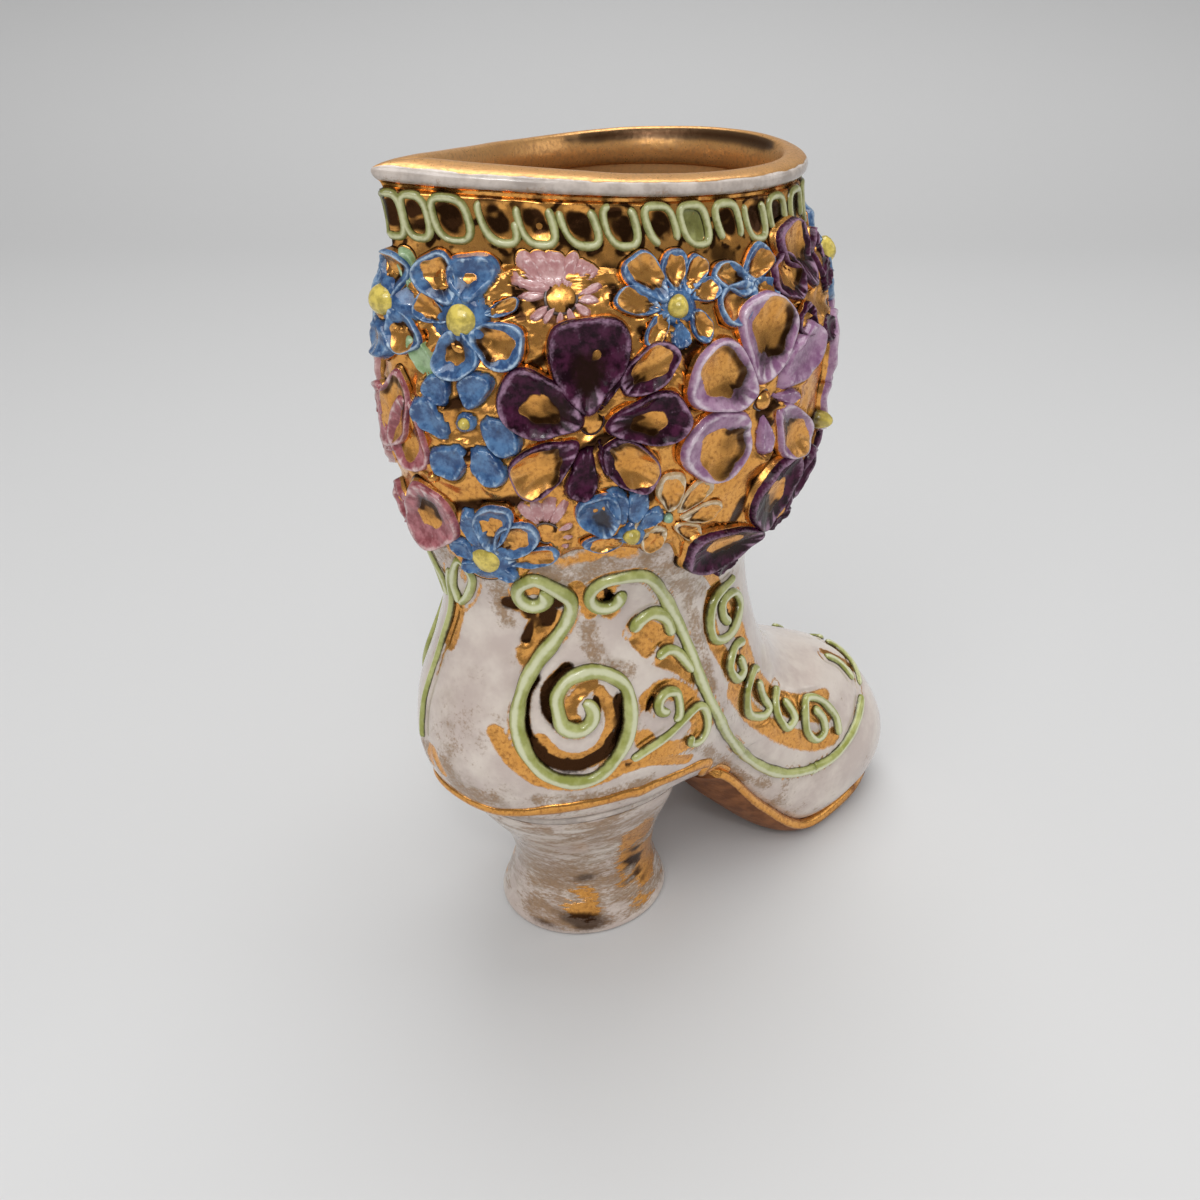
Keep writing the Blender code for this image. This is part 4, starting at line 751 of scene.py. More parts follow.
def line_on_boot(items, side, step):
    """Levels and bearings of even points along a line given by places and curls."""
    corners = []
    for item in items:
        if isinstance(item, Curl):
            centre, _, sideways, upward = local_axes(item.level, item.bearing)
            count = max(int(abs(item.last_angle - item.first_angle) / 30), 3)
            angles = np.radians(np.linspace(item.first_angle, item.last_angle, count + 1))
            radii = np.linspace(item.first_radius, item.last_radius, count + 1)
            corners += [centre + (sideways * math.cos(angle) + upward * math.sin(angle)) * radius
                        for angle, radius in zip(angles, radii)]
        else:
            corners.append(boot(*item))
    points = even_line(np.array(corners), step)
    starts = [CLAY_TREE.find(point)[1] for point in points]
    normals = boot_normal(CLAY_LEVELS[starts], CLAY_BEARINGS[starts])
    level, bearing = settle(points, normals)
    return level, bearing if side > 0 else 360.0 - bearing


def stroke_cover(strokes, points):
    """How fully brush strokes on both sides cover each point, from 0 to 1 with soft edges."""
    lines, widths = [], []
    for width, places in strokes:
        level, bearing = line_on_boot(places, 1, STROKE_STEP)
        for line in (boot(level, bearing), boot(level, 360.0 - bearing)):
            lines.append(line)
            widths += [width * MM / 2] * len(line)
    index, distance = nearest(tree_of(np.concatenate(lines)), points)
    return np.clip(1.35 - 0.85 * distance / np.array(widths)[index], 0, 1)


@lru_cache(maxsize=None)
def scroll_lines():
    """Levels and bearings along each trailed line, by the scroll's name and side."""
    lines = {(name, side): [line_on_boot(items, side, SCROLL_STEP) for items in parts]
             for name, parts in SCROLLS.items() for side in (1, -1)}
    lines["heel_scroll", 1].append(line_on_boot(SEAM_LINE, 1, SCROLL_STEP))
    return lines


def swept_ridge(bm, level, bearing, half_width, height, base, profile, closed=False):
    """Ridge of glaze along a line on the boot, with rounded ends unless it closes on itself."""
    middle, normal = boot(level, bearing), boot_normal(level, bearing)
    if closed:
        ahead, behind = np.roll(middle, -1, 0), np.roll(middle, 1, 0)
    else:
        ahead, behind = np.vstack([middle[1:], middle[-1:]]), np.vstack([middle[:1], middle[:-1]])
    across = unit(np.cross(unit(ahead - behind), normal))
    out, up, *tints = np.array(profile).T
    run = running_length(middle)
    fullness = np.ones(len(middle))
    if not closed:
        reach = np.minimum(run, run[-1] - run) / (half_width * 1.6)
        fullness = np.sqrt(np.clip(1 - (1 - np.clip(reach, 0.02, 1)) ** 2, 0, 1))
    swell = fullness * (1 + 0.08 * np.sin(run / (3.1 * MM)) + 0.05 * np.sin(run / (1.3 * MM) + 1.0))
    lateral = (half_width * swell)[:, None] * out[None, :]
    upward = base + (height * fullness)[:, None] * up[None, :]
    points = middle[:, None] + across[:, None] * lateral[..., None] + normal[:, None] * upward[..., None]
    lay_grid(bm, points, dict(zip(PROFILE_TINTS, tints)), closed_rows=closed,
             poles=(not closed, not closed))


class Nodes:
    """Short hand for laying out shader nodes in a tree."""

    def __init__(self, tree):
        self.tree = tree

    def add(self, kind, **settings):
        node = self.tree.nodes.new(kind)
        for name, value in settings.items():
            setattr(node, name, value)
        return node

    def set(self, socket, value):
        if isinstance(value, bpy.types.NodeSocket):
            self.tree.links.new(value, socket)
        else:
            socket.default_value = value

    def maths(self, operation, first, second):
        node = self.add("ShaderNodeMath", operation=operation)
        self.set(node.inputs[0], first)
        self.set(node.inputs[1], second)
        return node.outputs[0]

    def plus(self, first, second):
        return self.maths("ADD", first, second)

    def minus(self, first, second):
        return self.maths("SUBTRACT", first, second)

    def times(self, first, second):
        return self.maths("MULTIPLY", first, second)

    def mix(self, factor, first, second):
        node = self.add("ShaderNodeMix", data_type="RGBA")
        self.set(node.inputs[0], factor)
        self.set(node.inputs[6], first)
        self.set(node.inputs[7], second)
        return node.outputs[2]

    def between(self, value, low, high, first=0.0, second=1.0):
        node = self.add("ShaderNodeMapRange", interpolation_type="SMOOTHSTEP")
        for socket, number in zip(node.inputs[:5], (value, low, high, first, second)):
            self.set(socket, number)
        return node.outputs[0]

    def noise(self, vector, scale, detail=3.0, roughness=0.55):
        node = self.add("ShaderNodeTexNoise")
        self.set(node.inputs["Vector"], vector)
        self.set(node.inputs["Scale"], scale)
        node.inputs["Detail"].default_value = detail
        node.inputs["Roughness"].default_value = roughness
        return node.outputs[0]

    def group(self, name, **values):
        node = self.add("ShaderNodeGroup", node_tree=bpy.data.node_groups[name])
        for socket, value in values.items():
            self.set(node.inputs[socket], value)
        return node.outputs


FLOAT, COLOR, VECTOR = "NodeSocketFloat", "NodeSocketColor", "NodeSocketVector"
GLAZE_SUFFIX = "_painted"
GOLD_BRIGHT = (0.98, 0.51, 0.145)
GOLD_DEEP = (0.72, 0.30, 0.055)
GOLD_RUBBED = (0.50, 0.22, 0.06)
# Brown antiquing with painted shade in the gold
GOLD_ANTIQUE_AND_SHADE = (0.050, 0.019, 0.006)
SMUDGE_COLOR = (0.30, 0.215, 0.14)
# Paler matte gold where the pale tint lies on gilding: rubbed gold on the lip, and painted light inside the
# mouth
RUBBED_AND_LIT_LINING_COLOR = (0.71, 0.47, 0.245)
# Painted shade of that paler gold, where the dark tint is strong
SHADED_LINING_COLOR = (0.16, 0.07, 0.02)
SPECK_GILDING = 0.2
BUMP_STRENGTH = 0.55
BUMP_DISTANCE = 0.6 * MM

# A glaze: its colour where it pools, lies and thins, scale of the mottling, roughness, colours of the
# dabbed centres and of the kiln specks, raggedness of the gilding, drag of the brush along x, y and z,
# tint at which the antiquing and painted shade start and are full, their colour, strength of the shine,
# weight of the coat
GLAZE_FIELDS = ("deep middle pale scale roughness boss speck_color brush drag shade_edge shade_color shine "
                "coat")
Glaze = namedtuple("Glaze", GLAZE_FIELDS, defaults=(
    420.0, 0.14, (0.80, 0.63, 0.13), (0.23, 0.16, 0.12), 0.5, (1.0, 1.0, 1.0), (0.12, 0.85),
    (0.016, 0.006, 0.003), 0.5, 0.25))
GLAZES = {
    "porcelain": Glaze(
        deep=(0.59, 0.49, 0.44), middle=(0.745, 0.655, 0.58), pale=(0.84, 0.77, 0.71), scale=70.0,
        speck_color=(0.21, 0.145, 0.09), shade_edge=(0.30, 0.78), shade_color=(0.022, 0.009, 0.004)),
    "shaft": Glaze(
        deep=(0.48, 0.43, 0.40), middle=(0.74, 0.68, 0.63), pale=(0.82, 0.77, 0.73), scale=160.0,
        shade_edge=(0.05, 1.0)),
    "heel": Glaze(
        deep=(0.56, 0.46, 0.41), middle=(0.73, 0.645, 0.575), pale=(0.82, 0.75, 0.69), scale=70.0,
        speck_color=(0.20, 0.14, 0.09), shade_color=(0.075, 0.035, 0.014), brush=1.1, drag=(0.6, 0.6, 2.2)),
    "gold_lustre": Glaze(
        deep=(0.40, 0.34, 0.30), middle=(0.64, 0.56, 0.50), pale=(0.78, 0.71, 0.65), scale=160.0),
    "loop_green": Glaze(
        deep=(0.20, 0.20, 0.05), middle=(0.38, 0.39, 0.15), pale=(0.60, 0.60, 0.36), scale=240.0),
    "scroll_green": Glaze(
        deep=(0.30, 0.32, 0.07), middle=(0.51, 0.53, 0.21), pale=(0.69, 0.70, 0.46), scale=130.0),
    "blue": Glaze(
        deep=(0.025, 0.07, 0.19), middle=(0.10, 0.22, 0.42), pale=(0.46, 0.60, 0.74), scale=420.0),
    "plum": Glaze(
        deep=(0.012, 0.002, 0.006), middle=(0.072, 0.014, 0.042), pale=(0.40, 0.24, 0.35), scale=380.0,
        shine=0.12, coat=0.05),
    "lilac": Glaze(
        deep=(0.24, 0.10, 0.21), middle=(0.44, 0.26, 0.39), pale=(0.72, 0.60, 0.67), scale=300.0),
    "pink": Glaze(
        deep=(0.46, 0.21, 0.21), middle=(0.62, 0.37, 0.36), pale=(0.78, 0.62, 0.60), scale=380.0),
    "rose": Glaze(
        deep=(0.24, 0.05, 0.06), middle=(0.50, 0.18, 0.20), pale=(0.78, 0.58, 0.56), scale=380.0),
    "cream": Glaze(
        deep=(0.50, 0.34, 0.16), middle=(0.74, 0.58, 0.38), pale=(0.84, 0.74, 0.58), scale=380.0,
        boss=(0.36, 0.55, 0.36)),
    "leaf": Glaze(
        deep=(0.20, 0.33, 0.14), middle=(0.38, 0.52, 0.30), pale=(0.64, 0.72, 0.54), scale=380.0),
    "sole_brown": Glaze(
        deep=(0.15, 0.050, 0.015), middle=(0.29, 0.110, 0.038), pale=(0.80, 0.76, 0.72), scale=220.0,
        roughness=0.5, shine=0.15, coat=0.0),
}


def rgba(color):
    return (*color, 1)


def new_group(name, inputs, outputs):
    """Empty shader group with its named sockets, and its two end nodes."""
    tree = bpy.data.node_groups.new(name, "ShaderNodeTree")
    for label, kind, default in inputs:
        socket = tree.interface.new_socket(name=label, in_out="INPUT", socket_type=kind)
        socket.default_value = default
    for label, kind in outputs:
        tree.interface.new_socket(name=label, in_out="OUTPUT", socket_type=kind)
    nodes = Nodes(tree)
    return nodes, nodes.add("NodeGroupInput").outputs, nodes.add("NodeGroupOutput").inputs


def brushed_edge_group():
    """Breaks a soft mask up into the ragged edge that a brush leaves."""
    nodes, given, out = new_group(
        "Brushed edge", (("Vector", VECTOR, (0, 0, 0)), ("Mask", FLOAT, 0.0), ("Raggedness", FLOAT, 0.5)),
        (("Mask", FLOAT),))
    grain = nodes.noise(given["Vector"], 700.0, 4.0, 0.6)
    ragged = nodes.plus(given["Mask"], nodes.times(nodes.minus(grain, 0.5), given["Raggedness"]))
    present = nodes.between(given["Mask"], 0.0, 0.12)
    nodes.set(out["Mask"], nodes.times(present, nodes.between(ragged, 0.38, 0.62)))


def gold_group(bright, deep):
    """Burnished gold lustre: warm and cool patches, brown antiquing with painted shade, and a hammered
    surface.
    """
    nodes, given, out = new_group(
        "Gold lustre", (("Vector", VECTOR, (0, 0, 0)), ("Depth", FLOAT, 0.0)),
        (("Color", COLOR), ("Roughness", FLOAT), ("Height", FLOAT)))
    patches = nodes.noise(given["Vector"], 160.0, 3.0)
    fine = nodes.noise(given["Vector"], 1100.0, 3.0, 0.6)
    light = nodes.mix(patches, rgba(deep), rgba(bright))
    worn = nodes.mix(nodes.between(fine, 0.42, 0.75), light, rgba(GOLD_RUBBED))
    depth = nodes.plus(given["Depth"], nodes.times(nodes.minus(patches, 0.5), 0.5))
    nodes.set(out["Color"], nodes.mix(nodes.between(depth, 0.15, 0.95), worn, rgba(GOLD_ANTIQUE_AND_SHADE)))
    nodes.set(out["Roughness"], nodes.between(fine, 0.3, 0.8, 0.17, 0.36))
    nodes.set(out["Height"], nodes.plus(nodes.times(patches, 0.8), nodes.times(fine, 0.12)))


def mottled_glaze_group():
    """Watery hand-painted colour: deeper pools, paler thin places and small specks."""
    nodes, given, out = new_group(
        "Mottled glaze", (("Vector", VECTOR, (0, 0, 0)), ("Deep", COLOR, (0, 0, 0, 1)),
                          ("Middle", COLOR, (0, 0, 0, 1)), ("Pale", COLOR, (1, 1, 1, 1)),
                          ("Thinness", FLOAT, 0.0), ("Scale", FLOAT, 420.0)), (("Color", COLOR),))
    pools = nodes.noise(given["Vector"], given["Scale"], 4.0, 0.65)
    specks = nodes.noise(given["Vector"], nodes.times(given["Scale"], 4.5), 2.0)
    base = nodes.mix(nodes.between(pools, 0.36, 0.66), given["Deep"], given["Middle"])
    thin = nodes.plus(given["Thinness"], nodes.times(nodes.minus(specks, 0.5), 0.7))
    nodes.set(out["Color"], nodes.mix(nodes.between(thin, 0.18, 0.95), base, given["Pale"]))


def specks_group():
    """Small burnt specks, thicker where the smoke mask is stronger."""
    nodes, given, out = new_group(
        "Kiln specks", (("Vector", VECTOR, (0, 0, 0)), ("Amount", FLOAT, 0.0)), (("Mask", FLOAT),))
    large = nodes.noise(given["Vector"], 184.0, 3.0)
    small = nodes.noise(given["Vector"], 1150.0, 3.0, 0.7)
    level = nodes.plus(nodes.times(large, 0.45), nodes.times(small, 0.55))
    wanted = nodes.plus(level, nodes.times(given["Amount"], 0.22))
    nodes.set(out["Mask"], nodes.between(wanted, 0.57, 0.78))


def painted_color(nodes, place, stroke, tint, specks, look):
    """Colour of the glaze under the gold: mottled paint, kiln smudges, specks, dabs, antiquing and painted
    shade.
    """
    paint = nodes.group("Mottled glaze", Vector=place, Deep=rgba(look.deep), Middle=rgba(look.middle),
                        Pale=rgba(look.pale), Thinness=tint["pale"], Scale=look.scale)["Color"]
    smudge = nodes.times(nodes.between(nodes.noise(stroke, 210.0, 4.0, 0.65), 0.42, 0.72),
                         nodes.between(tint["smoke"], 0.10, 0.70, 0.0, 0.75))
    paint = nodes.mix(smudge, paint, rgba(SMUDGE_COLOR))
    paint = nodes.mix(specks, paint, rgba(look.speck_color))
    dabbed = nodes.group("Brushed edge", Vector=place, Mask=tint["boss"], Raggedness=0.3)["Mask"]
    dab = nodes.mix(nodes.between(nodes.noise(place, 520.0, 3.0, 0.6), 0.36, 0.62),
                    rgba([value * 0.55 for value in look.boss]), rgba(look.boss))
    paint = nodes.mix(dabbed, paint, dab)
    grain = nodes.minus(nodes.noise(place, 900.0, 3.0, 0.6), 0.5)
    broken = nodes.times(grain, nodes.between(tint["dark"], 0.0, 0.2, 0.0, 0.7))
    shade = nodes.between(nodes.plus(tint["dark"], broken), *look.shade_edge)
    return nodes.mix(nodes.times(shade, 0.92), paint, rgba(look.shade_color))


def glazed_material(name, look):
    """Painted glaze with gold lustre, antiquing, painted shade and specks laid over it where the piece's
    tints say.
    """
    material = bpy.data.materials.new(name + GLAZE_SUFFIX)
    material.use_nodes = True
    nodes = Nodes(material.node_tree)
    shader = material.node_tree.nodes["Principled BSDF"]
    place = nodes.add("ShaderNodeTexCoord").outputs["Object"]
    tint = {key: nodes.add("ShaderNodeAttribute", attribute_name=key).outputs["Fac"] for key in TINTS}
    dragged = nodes.add("ShaderNodeMapping")
    dragged.inputs["Scale"].default_value = look.drag
    nodes.set(dragged.inputs["Vector"], place)
    stroke = dragged.outputs[0]
    specks = nodes.times(nodes.group("Kiln specks", Vector=stroke, Amount=tint["smoke"])["Mask"],
                         nodes.between(tint["smoke"], 0.0, 0.35, 0.0, 0.85))
    color = painted_color(nodes, place, stroke, tint, specks, look)
    gold = nodes.group("Gold lustre", Vector=place, Depth=nodes.between(tint["dark"], *look.shade_edge))
    gilt = nodes.group("Brushed edge", Vector=stroke, Mask=tint["gilt"], Raggedness=look.brush)["Mask"]
    gilt = nodes.maths("MAXIMUM", gilt, nodes.times(specks, SPECK_GILDING))
    # Paler matte gold where the pale tint lies: rubbed gold on the lip, painted light inside, with its
    # painted shade
    rubbed_and_lit_lining = nodes.times(tint["pale"], 0.6)
    painted_shade_share = nodes.mix(nodes.between(tint["dark"], 0.2, 1.0), rgba(RUBBED_AND_LIT_LINING_COLOR), rgba(SHADED_LINING_COLOR))
    nodes.set(shader.inputs["Base Color"], nodes.mix(gilt, color, nodes.mix(rubbed_and_lit_lining, gold["Color"], painted_shade_share)))
    nodes.set(shader.inputs["Metallic"], nodes.times(gilt, nodes.minus(0.93, nodes.times(rubbed_and_lit_lining, 0.75))))
    gold_roughness = nodes.plus(gold["Roughness"], nodes.times(rubbed_and_lit_lining, 0.3))
    nodes.set(shader.inputs["Roughness"], nodes.plus(
        nodes.times(nodes.minus(gold_roughness, look.roughness), gilt), look.roughness))
    bump = nodes.add("ShaderNodeBump")
    bump.inputs["Strength"].default_value = BUMP_STRENGTH
    bump.inputs["Distance"].default_value = BUMP_DISTANCE
    nodes.set(bump.inputs["Height"], nodes.plus(nodes.times(nodes.noise(place, 260.0, 2.0), 0.35),
                                                nodes.times(gold["Height"], nodes.times(gilt, 0.6))))
    nodes.set(shader.inputs["Normal"], bump.outputs[0])
    if look.coat:
        nodes.set(shader.inputs["Coat Weight"], nodes.times(nodes.minus(1.0, gilt), look.coat))
    shader.inputs["Coat Roughness"].default_value = 0.06
    shader.inputs["Specular IOR Level"].default_value = look.shine


def make_materials(colors):
    """Node groups and one material for each glaze, in the colours that the settings give."""
    brushed_edge_group()
    gold_group(colors.gold_bright, colors.gold_deep)
    mottled_glaze_group()
    specks_group()
    for name, look in GLAZES.items():
        glazed_material(name, look._replace(middle=getattr(colors, name, look.middle)))


def glaze(name):
    """Material of a glaze that the Glazes operator has mixed."""
    return bpy.data.materials[name + GLAZE_SUFFIX]


SHAFT_ROWS, SHAFT_COLUMNS = 168, 380
HOLLOW_ROWS = 56
SHAFT_TOP_LEVEL = 1.0
# Level where the gilded ground ends between the lowest petals, and how close a petal pulls it down
HEM_LEVEL = 5.62
HEM_REACH = 3.0
# Waists on the back seam, above and below the upper rose, where the ground lies low
SEAM_WAISTS = (3.74, 4.95)


def shaft_hem(bearings, edges):
    """Level at each bearing where the gilded ground ends, just under the lowest petals."""
    edge_level, edge_bearing = settle(edges[::2], np.zeros(3))
    hem = np.full(len(bearings), HEM_LEVEL)
    for index, bearing in enumerate(bearings):
        near = edge_level[np.abs((edge_bearing - bearing + 180) % 360 - 180) < HEM_REACH]
        if len(near):
            hem[index] = max(hem[index], near.max() - 0.02)
    kernel = np.hanning(9) / np.hanning(9).sum()
    return np.convolve(np.concatenate([hem[-4:], hem, hem[:4]]), kernel, "valid")


def build_shaft(material, relief, ground_rise):
    """Shaft of the boot: a raised gilded ground outside and the gilt wall of the hollow inside, with
    painted shade.
    """
    edges, outward, crests = petal_edges(relief)
    bearings = np.linspace(0, 360, SHAFT_COLUMNS, endpoint=False)
    hem = shaft_hem(bearings, edges)
    share = np.linspace(0, 1, SHAFT_ROWS)[:, None]
    level = SHAFT_TOP_LEVEL + (hem - SHAFT_TOP_LEVEL) * share
    bearing = np.broadcast_to(bearings, level.shape)
    flat = boot(level, bearing)
    index, apart = nearest(tree_of(edges), flat)
    within = ((flat - edges[index]) * outward[index]).sum(-1) < 0
    web = np.exp(-np.maximum(apart - 0.9 * MM, 0) / (1.3 * MM)) * ~within
    rough, grain = lumps(flat, 4.6 * MM), lumps(flat, 2.3 * MM, 5.0)
    field = ramp(level, 1.80, 2.05)
    web_rise = np.clip(0.62 * crests[index], 0.45 * MM, 1.7 * MM)
    rise = ground_rise + web_rise * web * (0.85 + 0.7 * rough) + 0.45 * MM * rough
    rise = field * np.where(within, np.minimum(0.35 * MM, rise), rise) + 0.05 * MM
    rise *= 1 - ramp(share, 0.978, 1.0) * 0.75
    between_roses = sum(np.exp(-((level - waist) / 0.16) ** 2) for waist in SEAM_WAISTS)
    rise *= 1 - 0.95 * between_roses * np.exp(-((bearing - 182) / 16) ** 2)
    outer = flat + boot_normal(level, bearing) * rise[..., None]
    under = raised(np.minimum(hem + 0.02, 6.9), bearings, np.full(SHAFT_COLUMNS, TUCK))[None, :]
    back_level = np.linspace(6.3, SHAFT_TOP_LEVEL, HOLLOW_ROWS)[:, None] * np.ones(SHAFT_COLUMNS)
    points = np.concatenate([outer, under, inner_wall(back_level, bearings)])
    # Brown antiquing with painted shade: dark next to the petals, where the ground lies low, and in the
    # listed patches
    beside = np.exp(-((apart - 0.55 * MM) / (0.55 * MM)) ** 2)
    shade_in_low_ground = ramp(-rough - 0.45 * web, -0.10, 0.62) * ramp(apart, 0.8 * MM, 3.0 * MM)
    dark = np.clip(0.05 + 0.80 * beside * ramp(grain, -0.6, 0.3) + 0.72 * shade_in_low_ground
                   + 0.9 * stroke_cover(ANTIQUE_AND_SHADE_PATCHES, flat), 0, 1) * field
    # Painted shade inside the hollow: a dark line standing for the shadow of the step a few mm down, and
    # darker deeper in
    ledge_shadow = np.exp(-((back_level - 1.30) / 0.12) ** 2) * 0.3
    behind = np.clip(ledge_shadow + 0.3 * ramp(back_level, 3.5, 6.0), 0, 1)
    # The pale tint lines the gold inside with a paler matte colour: painted light on the wall of the hollow
    tints = {"gilt": 1.0, "pale": (np.arange(len(points)) >= len(outer))[:, None] * 1.0,
             "dark": np.concatenate([dark, np.ones((1, SHAFT_COLUMNS)), behind])}
    bm = bmesh.new()
    lay_grid(bm, points, tints, closed_rows=True)
    finish_piece(bm, "boot_shaft", material, "boot_shell")


FOOT_COLUMNS = 300
FOOT_TOP_LEVEL = 5.3
FOOT_FINE_END_LEVEL = 10.4
FOOT_FINE_ROWS, FOOT_REST_ROWS, FOOT_INNER_ROWS = 146, 116, 46
# How far the rounded tip of the toe stands past the last outline, and upwards
TOE_TIP = np.array((0.0011, 0, 0.0004))


def build_foot(material):
    """Foot of the boot: white glaze with gilded and antiqued channels beside the trailed scrolls."""
    bearings = np.linspace(0, 360, FOOT_COLUMNS, endpoint=False)
    levels = np.concatenate([np.linspace(FOOT_TOP_LEVEL, FOOT_FINE_END_LEVEL, FOOT_FINE_ROWS),
                             np.linspace(FOOT_FINE_END_LEVEL, LAST_LEVEL, FOOT_REST_ROWS)[1:]])
    level, bearing = np.meshgrid(levels, bearings, indexing="ij")
    flat, normal = boot(level, bearing), boot_normal(level, bearing)
    _, apart = nearest(tree_of(np.concatenate([boot(*line) for lines in scroll_lines().values()
                                               for line in lines])), flat)
    gold, dark, smoke = (stroke_cover(STROKES[kind], flat) for kind in ("gold", "dark", "smoke"))
    channel = np.exp(-((apart - 1.9 * MM) / (0.8 * MM)) ** 2)
    sunk = 0.35 * MM * channel + 0.45 * MM * gold + 0.75 * MM * dark
    soft = lumps(flat, 9.0 * MM, 3.0)
    rise = -sunk * ramp(level, 5.8, 6.4) + 0.10 * MM * soft
    outer = flat + normal * rise[..., None]
    back_levels = np.linspace(FOOT_TOP_LEVEL, CAVITY_END_LEVEL, FOOT_INNER_ROWS)[::-1]
    inner = inner_wall(*np.meshgrid(back_levels, bearings, indexing="ij"), FOOT_WALL)
    points = np.concatenate([pole_row(inner[0]), inner, outer, pole_row(outer[-1]) + TOE_TIP])
    gilt = np.maximum(np.maximum(gold, 0.9 * dark), 0.6 * channel * ramp(soft, -0.35, 0.25))
    under_hem = 0.62 * (1 - ramp(level, 5.75, 6.25)) * ramp(lumps(flat, 6.0 * MM, 11.0), -0.15, 0.35)
    dark = np.clip(dark * (0.95 + 0.55 * lumps(flat, 5.5 * MM, 7.0))
                   + 0.35 * channel * ramp(-soft, -0.2, 0.4)
                   + 0.4 * gold * ramp(lumps(flat, 3.0 * MM), 0, 0.5), 0, 1)
    under_flowers = 1 - ramp(level, 5.9, 6.6)
    smoke = np.clip(smoke + 0.55 * under_flowers + 0.32 * ramp(soft, 0.1, 0.5)
                    + 0.25 * ramp(-soft, 0.2, 0.6), 0, 1)
    lower = ramp(level, 9.6, 10.6) * (1 - ramp(np.abs(bearing - 180), 60, 95))
    behind = np.exp(-((bearing - 168) / 22) ** 2) * ramp(level, 7.6, 9.2)
    smoke = np.clip(smoke * 0.85 + 0.30 * lower + 0.34 * behind, 0, 1)
    hidden, tip = np.ones((len(inner) + 1, FOOT_COLUMNS)), np.zeros((1, FOOT_COLUMNS))
    tints = {"gilt": np.concatenate([hidden, np.maximum(gilt, under_hem), tip]),
             "dark": np.concatenate([hidden * 0.6, dark, tip]),
             "smoke": np.concatenate([hidden * 0.0, smoke, tip])}
    bm = bmesh.new()
    lay_grid(bm, points, tints, poles=(True, True))
    finish_piece(bm, "boot_foot", material, "boot_shell")


# Section of the lip: level, how far in from the outline and lift in mm, gilt, smoke
RIM_ROWS = (
    (1, 0.45, 0, 1, 0), (0.94, 0.3, 0, 1, 0), (0.85, 0.18, 0, 1, 0), (0.76, 0.12, 0, 1, 0),
    (0.7, 0, 0, 0.95, 0), (0.665, -0.25, 0, 0.55, 0.4), (0.62, -0.55, 0, 0.1, 0.5),
    (0.56, -0.76, 0, 0, 0.4), (0.48, -0.86, 0, 0, 0.3), (0.4, -0.84, 0.15, 0, 0.2),
    (0.32, -0.72, 0.3, 0, 0.1), (0.24, -0.48, 0.45, 0, 0.1), (0.18, -0.14, 0.62, 0.2, 0.1),
    (0.135, 0.25, 0.72, 0.8, 0), (0.1, 0.7, 0.77, 1, 0), (0.06, 1.3, 0.8, 1, 0), (0.03, 2, 0.82, 1, 0),
    (0, 2.8, 0.86, 1, 0), (0, 3.6, 0.95, 1, 0), (0, 4.3, 0.92, 1, 0), (0.04, 4.8, 0.66, 1, 0),
    (0.16, 5, 0.35, 1, 0), (0.4, 5.05, 0.1, 1, 0), (0.7, 5, 0, 1, 0), (0.98, 4.9, 0, 1, 0),
    (1.12, 4.7, 0, 1, 0), (1.16, 4.2, 0, 1, 0), (1.1, 3.4, 0, 1, 0))
RIM_COLUMNS = 420


def build_rim(material):
    """Thick hand-finished lip: white outside, gilded on top and inside, with painted shade under it and
    inside.
    """
    bearings = np.linspace(0, 360, RIM_COLUMNS, endpoint=False)
    level, inset, lift, gilt, smoke = np.array(RIM_ROWS).T[..., None]
    number = np.arange(len(RIM_ROWS))[:, None]
    at_back = 1 - 0.55 * np.exp(-((bearings - 180) / 13) ** 2) * (1 - ramp(inset, 3.0, 4.6))
    points = inner_wall(level, bearings, inset * at_back * MM)
    points[..., 2] += lift * MM * (1 - 1.25 * np.exp(-((bearings - 182) / 15) ** 2))
    wave = lumps(points, 13 * MM, 2.0)
    points[..., 2] += wave * 0.22 * MM * (number > 3)
    ragged = 0.5 * lumps(points, 3.5 * MM, 9.0)
    onward = np.where(bearings < 90, bearings + 360, bearings)
    far = ramp(onward, 250, 300) * (1 - ramp(onward, 372, 392))
    # Painted shade and a dark painted reflection along the far side of the wall inside, under the top
    shaded = (np.interp(number, (19, 20, 21, 22, 23), (0, 0.7, 0.95, 0.55, 0)) * far
              * (0.55 + 0.45 * ramp(wave + 0.8 * ragged, -0.3, 0.25)))
    # Painted shade under the bulge of the lip
    shade_under_lip = 0.55 * ramp(ragged, -0.15, 0.2) * (number < 5)
    # The pale tint lines the gold on the top and inside: rubbed on the top, painted light inside
    tints = {"gilt": np.clip(gilt + ragged * (np.abs(gilt - 0.5) < 0.45), 0, 1), "smoke": smoke,
             "pale": (number > 11) * 0.55, "dark": np.clip(shaded + shade_under_lip, 0, 1)}
    bm = bmesh.new()
    lay_grid(bm, points, tints, closed_rows=True)
    finish_piece(bm, "rim_collar_gilded", material, "rim_collar")


# Section of a loop: share of the half width, share of the height, pale, dark
LOOP_PROFILE = (
    (-1.15, -0.2, 0, 1), (-1.05, 0.15, 0, 0.8), (-0.88, 0.55, 0.1, 0), (-0.5, 0.88, 0.4, 0), (0, 1, 0.9, 0),
    (0.5, 0.88, 0.5, 0), (0.88, 0.55, 0.1, 0), (1.05, 0.15, 0, 0.8), (1.15, -0.2, 0, 1), (0, -0.5, 0, 1))
